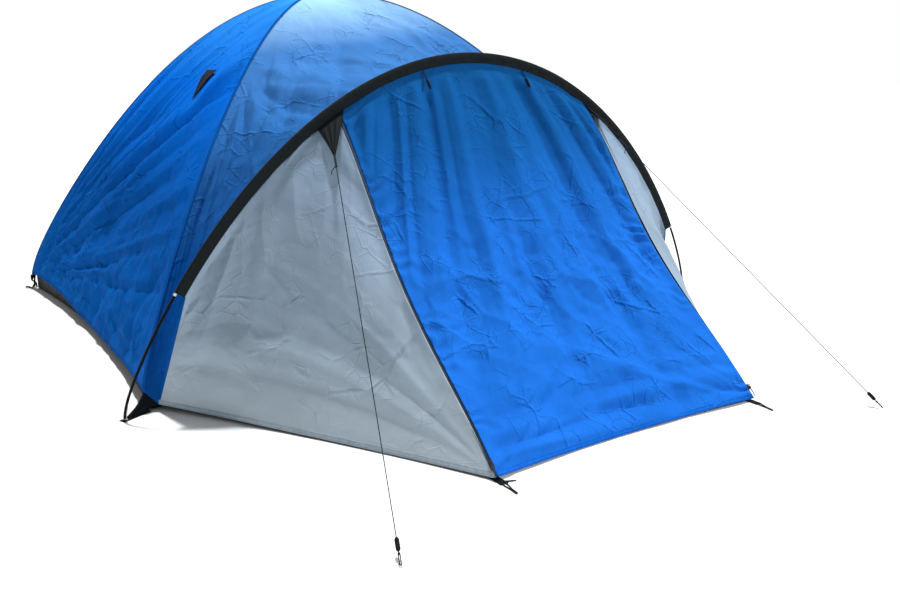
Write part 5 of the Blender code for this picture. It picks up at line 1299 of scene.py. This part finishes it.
hole = doorway(0.0)
turns = np.linspace(FIRST_TURN, math.pi / 2, len(hole) // 2 - 19)
pole = main_line((1, -1), turns, LOWER_RISE, INNER_OFFSET)
sill = np.stack([np.linspace(0, pole[0, 0], 21), np.full(21, pole[0, 2])], axis=-1)
rim = mirrored(np.vstack([sill, pole[1:, ::2]]))
share = shares(41)
plan = (1 - share[..., None]) * hole[None] + share[..., None] * rim[None]
wall, area = front_piece("inner_cloth_front", plan, from_edges(share, 0.15), 0.2, 0.7, 141)
attached(wall, "root", "inner_cloth", "inner_wall_front")

middle = np.array([0.0, DOOR_SILL + DOOR_TALL / 2])
plan = middle + share[..., None] * (doorway(DOOR_SLIT)[None] - middle)
leaf, area = front_piece("inner_door_cloth", plan, smooth((1 - share) / 0.2), 0.16, 0.6, 143, merge=True)
attached(leaf, "inner_door", "inner_cloth", "inner_door")
for name, gap, inner_gap, width, body in (("inner_door_binding", -0.008, 0.0, 0.014, "root"),
                                          ("inner_door_edge", 0.011, 0.020, 0.012, "inner_door")):
    path = front_wall(doorway(gap)) + FRONT * BINDING_THICKNESS
    across = front_wall(doorway(inner_gap)) - path
    binding = strap(name, path, across, width, BINDING_THICKNESS, zip_tape, closed=True)
    attached(binding, body, "zip_tape")
for name, rise in (("front_left", LOWER_RISE), ("rear_right", LOWER_RISE),
                   ("front_right", UPPER_RISE), ("rear_left", UPPER_RISE)):
    path = main_line(CORNERS[name], np.linspace(3, 12, 160) / 14 * math.pi / 2, rise)
    run = run_of(path)
    radii = INNER_SLEEVE_RADIUS + 0.0002 * ripple(run, 0 * run, 0.02, 1.0, 150)
    pole_sleeve = tube("inner_sleeve_" + name, path, radii, main_beside(CORNERS[name]), 16, inner_cloth)
    attached(pole_sleeve, "root", "inner_cloth", "inner_pole_sleeve_" + name)

# Ground sheet.
# Woven polyethylene tape coated on both sides, dark olive. Its edge stands up 60 mm all round as a
# tray, and shows dusty and creased below the outer sheet's hem.
RIM_HEIGHT = 0.0595
TAPE_PITCH = 0.0034
GROUND_CLOTH = 0.0006

# Dark olive with a low sheen, dusty in patches and softly creased.
woven_sheet, tree, shader = new_material("coated woven polyethylene", {
    "IOR": 1.51, "Specular IOR Level": 0.05})
place = add_node(tree, "TexCoord").outputs["Object"]
weave = crossed(tree, *add_node(tree, "SeparateXYZ", {0: place}).outputs[1:], TAPE_PITCH)
crease = add_node(tree, "TexVoronoi", {"Scale": 26.0, "Vector": place}, feature="F1")
dust = add_node(tree, "TexNoise", {"Scale": 14.0, "Detail": 5.0, "Vector": place})
colour = add_node(tree, "Mix", {0: dust, 6: linear("14150D"), 7: linear("26251A")}, data_type="RGBA")
rough = add_node(tree, "MapRange", {0: dust, "To Min": 0.32, "To Max": 0.60})
thread = add_node(tree, "Math", {0: weave, 1: 0.0001}, operation="MULTIPLY")
relief = add_node(tree, "Math", {0: crease, 1: 0.0030, 2: thread}, operation="MULTIPLY_ADD")
shown(tree, shader, colour, rough, relief)

outline = [inner_panel(name, 3, 81)[0][0, :-1] for name in ("front", "left", "rear", "right")]
outline = np.vstack(outline) * GROUND
centre = outline.mean(axis=0)
outward = np.cross(unit(np.roll(outline, -1, axis=0) - np.roll(outline, 1, axis=0)), UP)
outward = outward * np.sign((outward * (outline - centre)).sum(-1, keepdims=True))
run = run_of(outline)[None, :]
# The raised edge turns under in a small round at the ground, and the floor lies flat inside it.
rise = np.concatenate([np.linspace(RIM_HEIGHT, 0.004, 12), [0.0016, 0.0009]])[:, None]
turned_in = np.array([0.0010] * 12 + [0.0022, 0.0050])[:, None]
bulge = 0.0030 * crushed(run + 0 * rise, rise + 0 * run, 0.055, 161)
bulge = bulge * np.sin(math.pi * np.clip(rise / RIM_HEIGHT, 0.02, 0.98)) - turned_in
wall = outline[None] + rise[..., None] * UP + bulge[..., None] * outward[None]
share = np.linspace(0.985, 0.0, 30)[:, None, None]
floor_part = centre + share * (outline[None] - centre) + (0.0009 + 0.0004 * smooth(1 - share)) * UP
grid = np.concatenate([wall, floor_part])
uv = np.stack(np.meshgrid(np.append(run, run[0, -1] + 0.01), np.linspace(0, 1.2, len(grid))), axis=-1)
outside = np.concatenate([np.broadcast_to(outward[None], wall.shape), np.broadcast_to(-UP, floor_part.shape)])
tray = surface("ground_sheet_tray", grid, uv, woven_sheet, wrap=(False, True), outside=outside, merge=True)
attached(thickened(tray, GROUND_CLOTH), "root", "coated_ground_sheet", "ground_sheet")

# Floor, lamps and background.
# A plain pale studio floor, a broad soft lamp overhead, a weaker one from the front right and an
# even white surround.
FLOOR_HALF = 40

floor_material, tree, shader = new_material("studio floor", {
    "Base Color": (0.92, 0.92, 0.92, 1.0), "Roughness": 0.9, "Specular IOR Level": 0.1})
floor_mesh = bpy.data.meshes.new("floor")
floor_mesh.from_pydata([(x * FLOOR_HALF, y * FLOOR_HALF, 0) for x, y in ((-1, -1), (1, -1), (1, 1), (-1, 1))],
                       [], [(0, 1, 2, 3)])
floor_mesh.materials.append(floor_material)
floor = bpy.data.objects.new("floor", floor_mesh)
bpy.context.scene.collection.objects.link(floor)

for name, strength, spread, toward in (("main sun", 3.5, 5, (0.14, 0.24, 0.96)),
                                       ("side light", 1.9, 8, (0.68, -0.54, 0.42))):
    toward = unit(toward)
    lamp = aimed(name, bpy.data.lights.new(name, "SUN"), (0.0, 0.0, 0.0), unit(np.cross(UP, toward)), toward)
    lamp.data.energy = strength
    lamp.data.angle = math.radians(spread)

world = bpy.data.worlds.new("studio")
bpy.context.scene.world = world
world.use_nodes = True
tree = world.node_tree
background = tree.nodes["Background"]
background.inputs["Color"].default_value = (1.0, 1.0, 1.0, 1.0)
rays = add_node(tree, "LightPath").outputs
seen = add_node(tree, "Math", {0: rays["Is Camera Ray"], 1: rays["Is Glossy Ray"]}, operation="MAXIMUM")
level = add_node(tree, "MapRange", {0: seen, "To Min": 0.25, "To Max": 1.0})
tree.links.new(level.outputs[0], background.inputs["Strength"])
bpy.context.scene.view_settings.view_transform = "Standard"
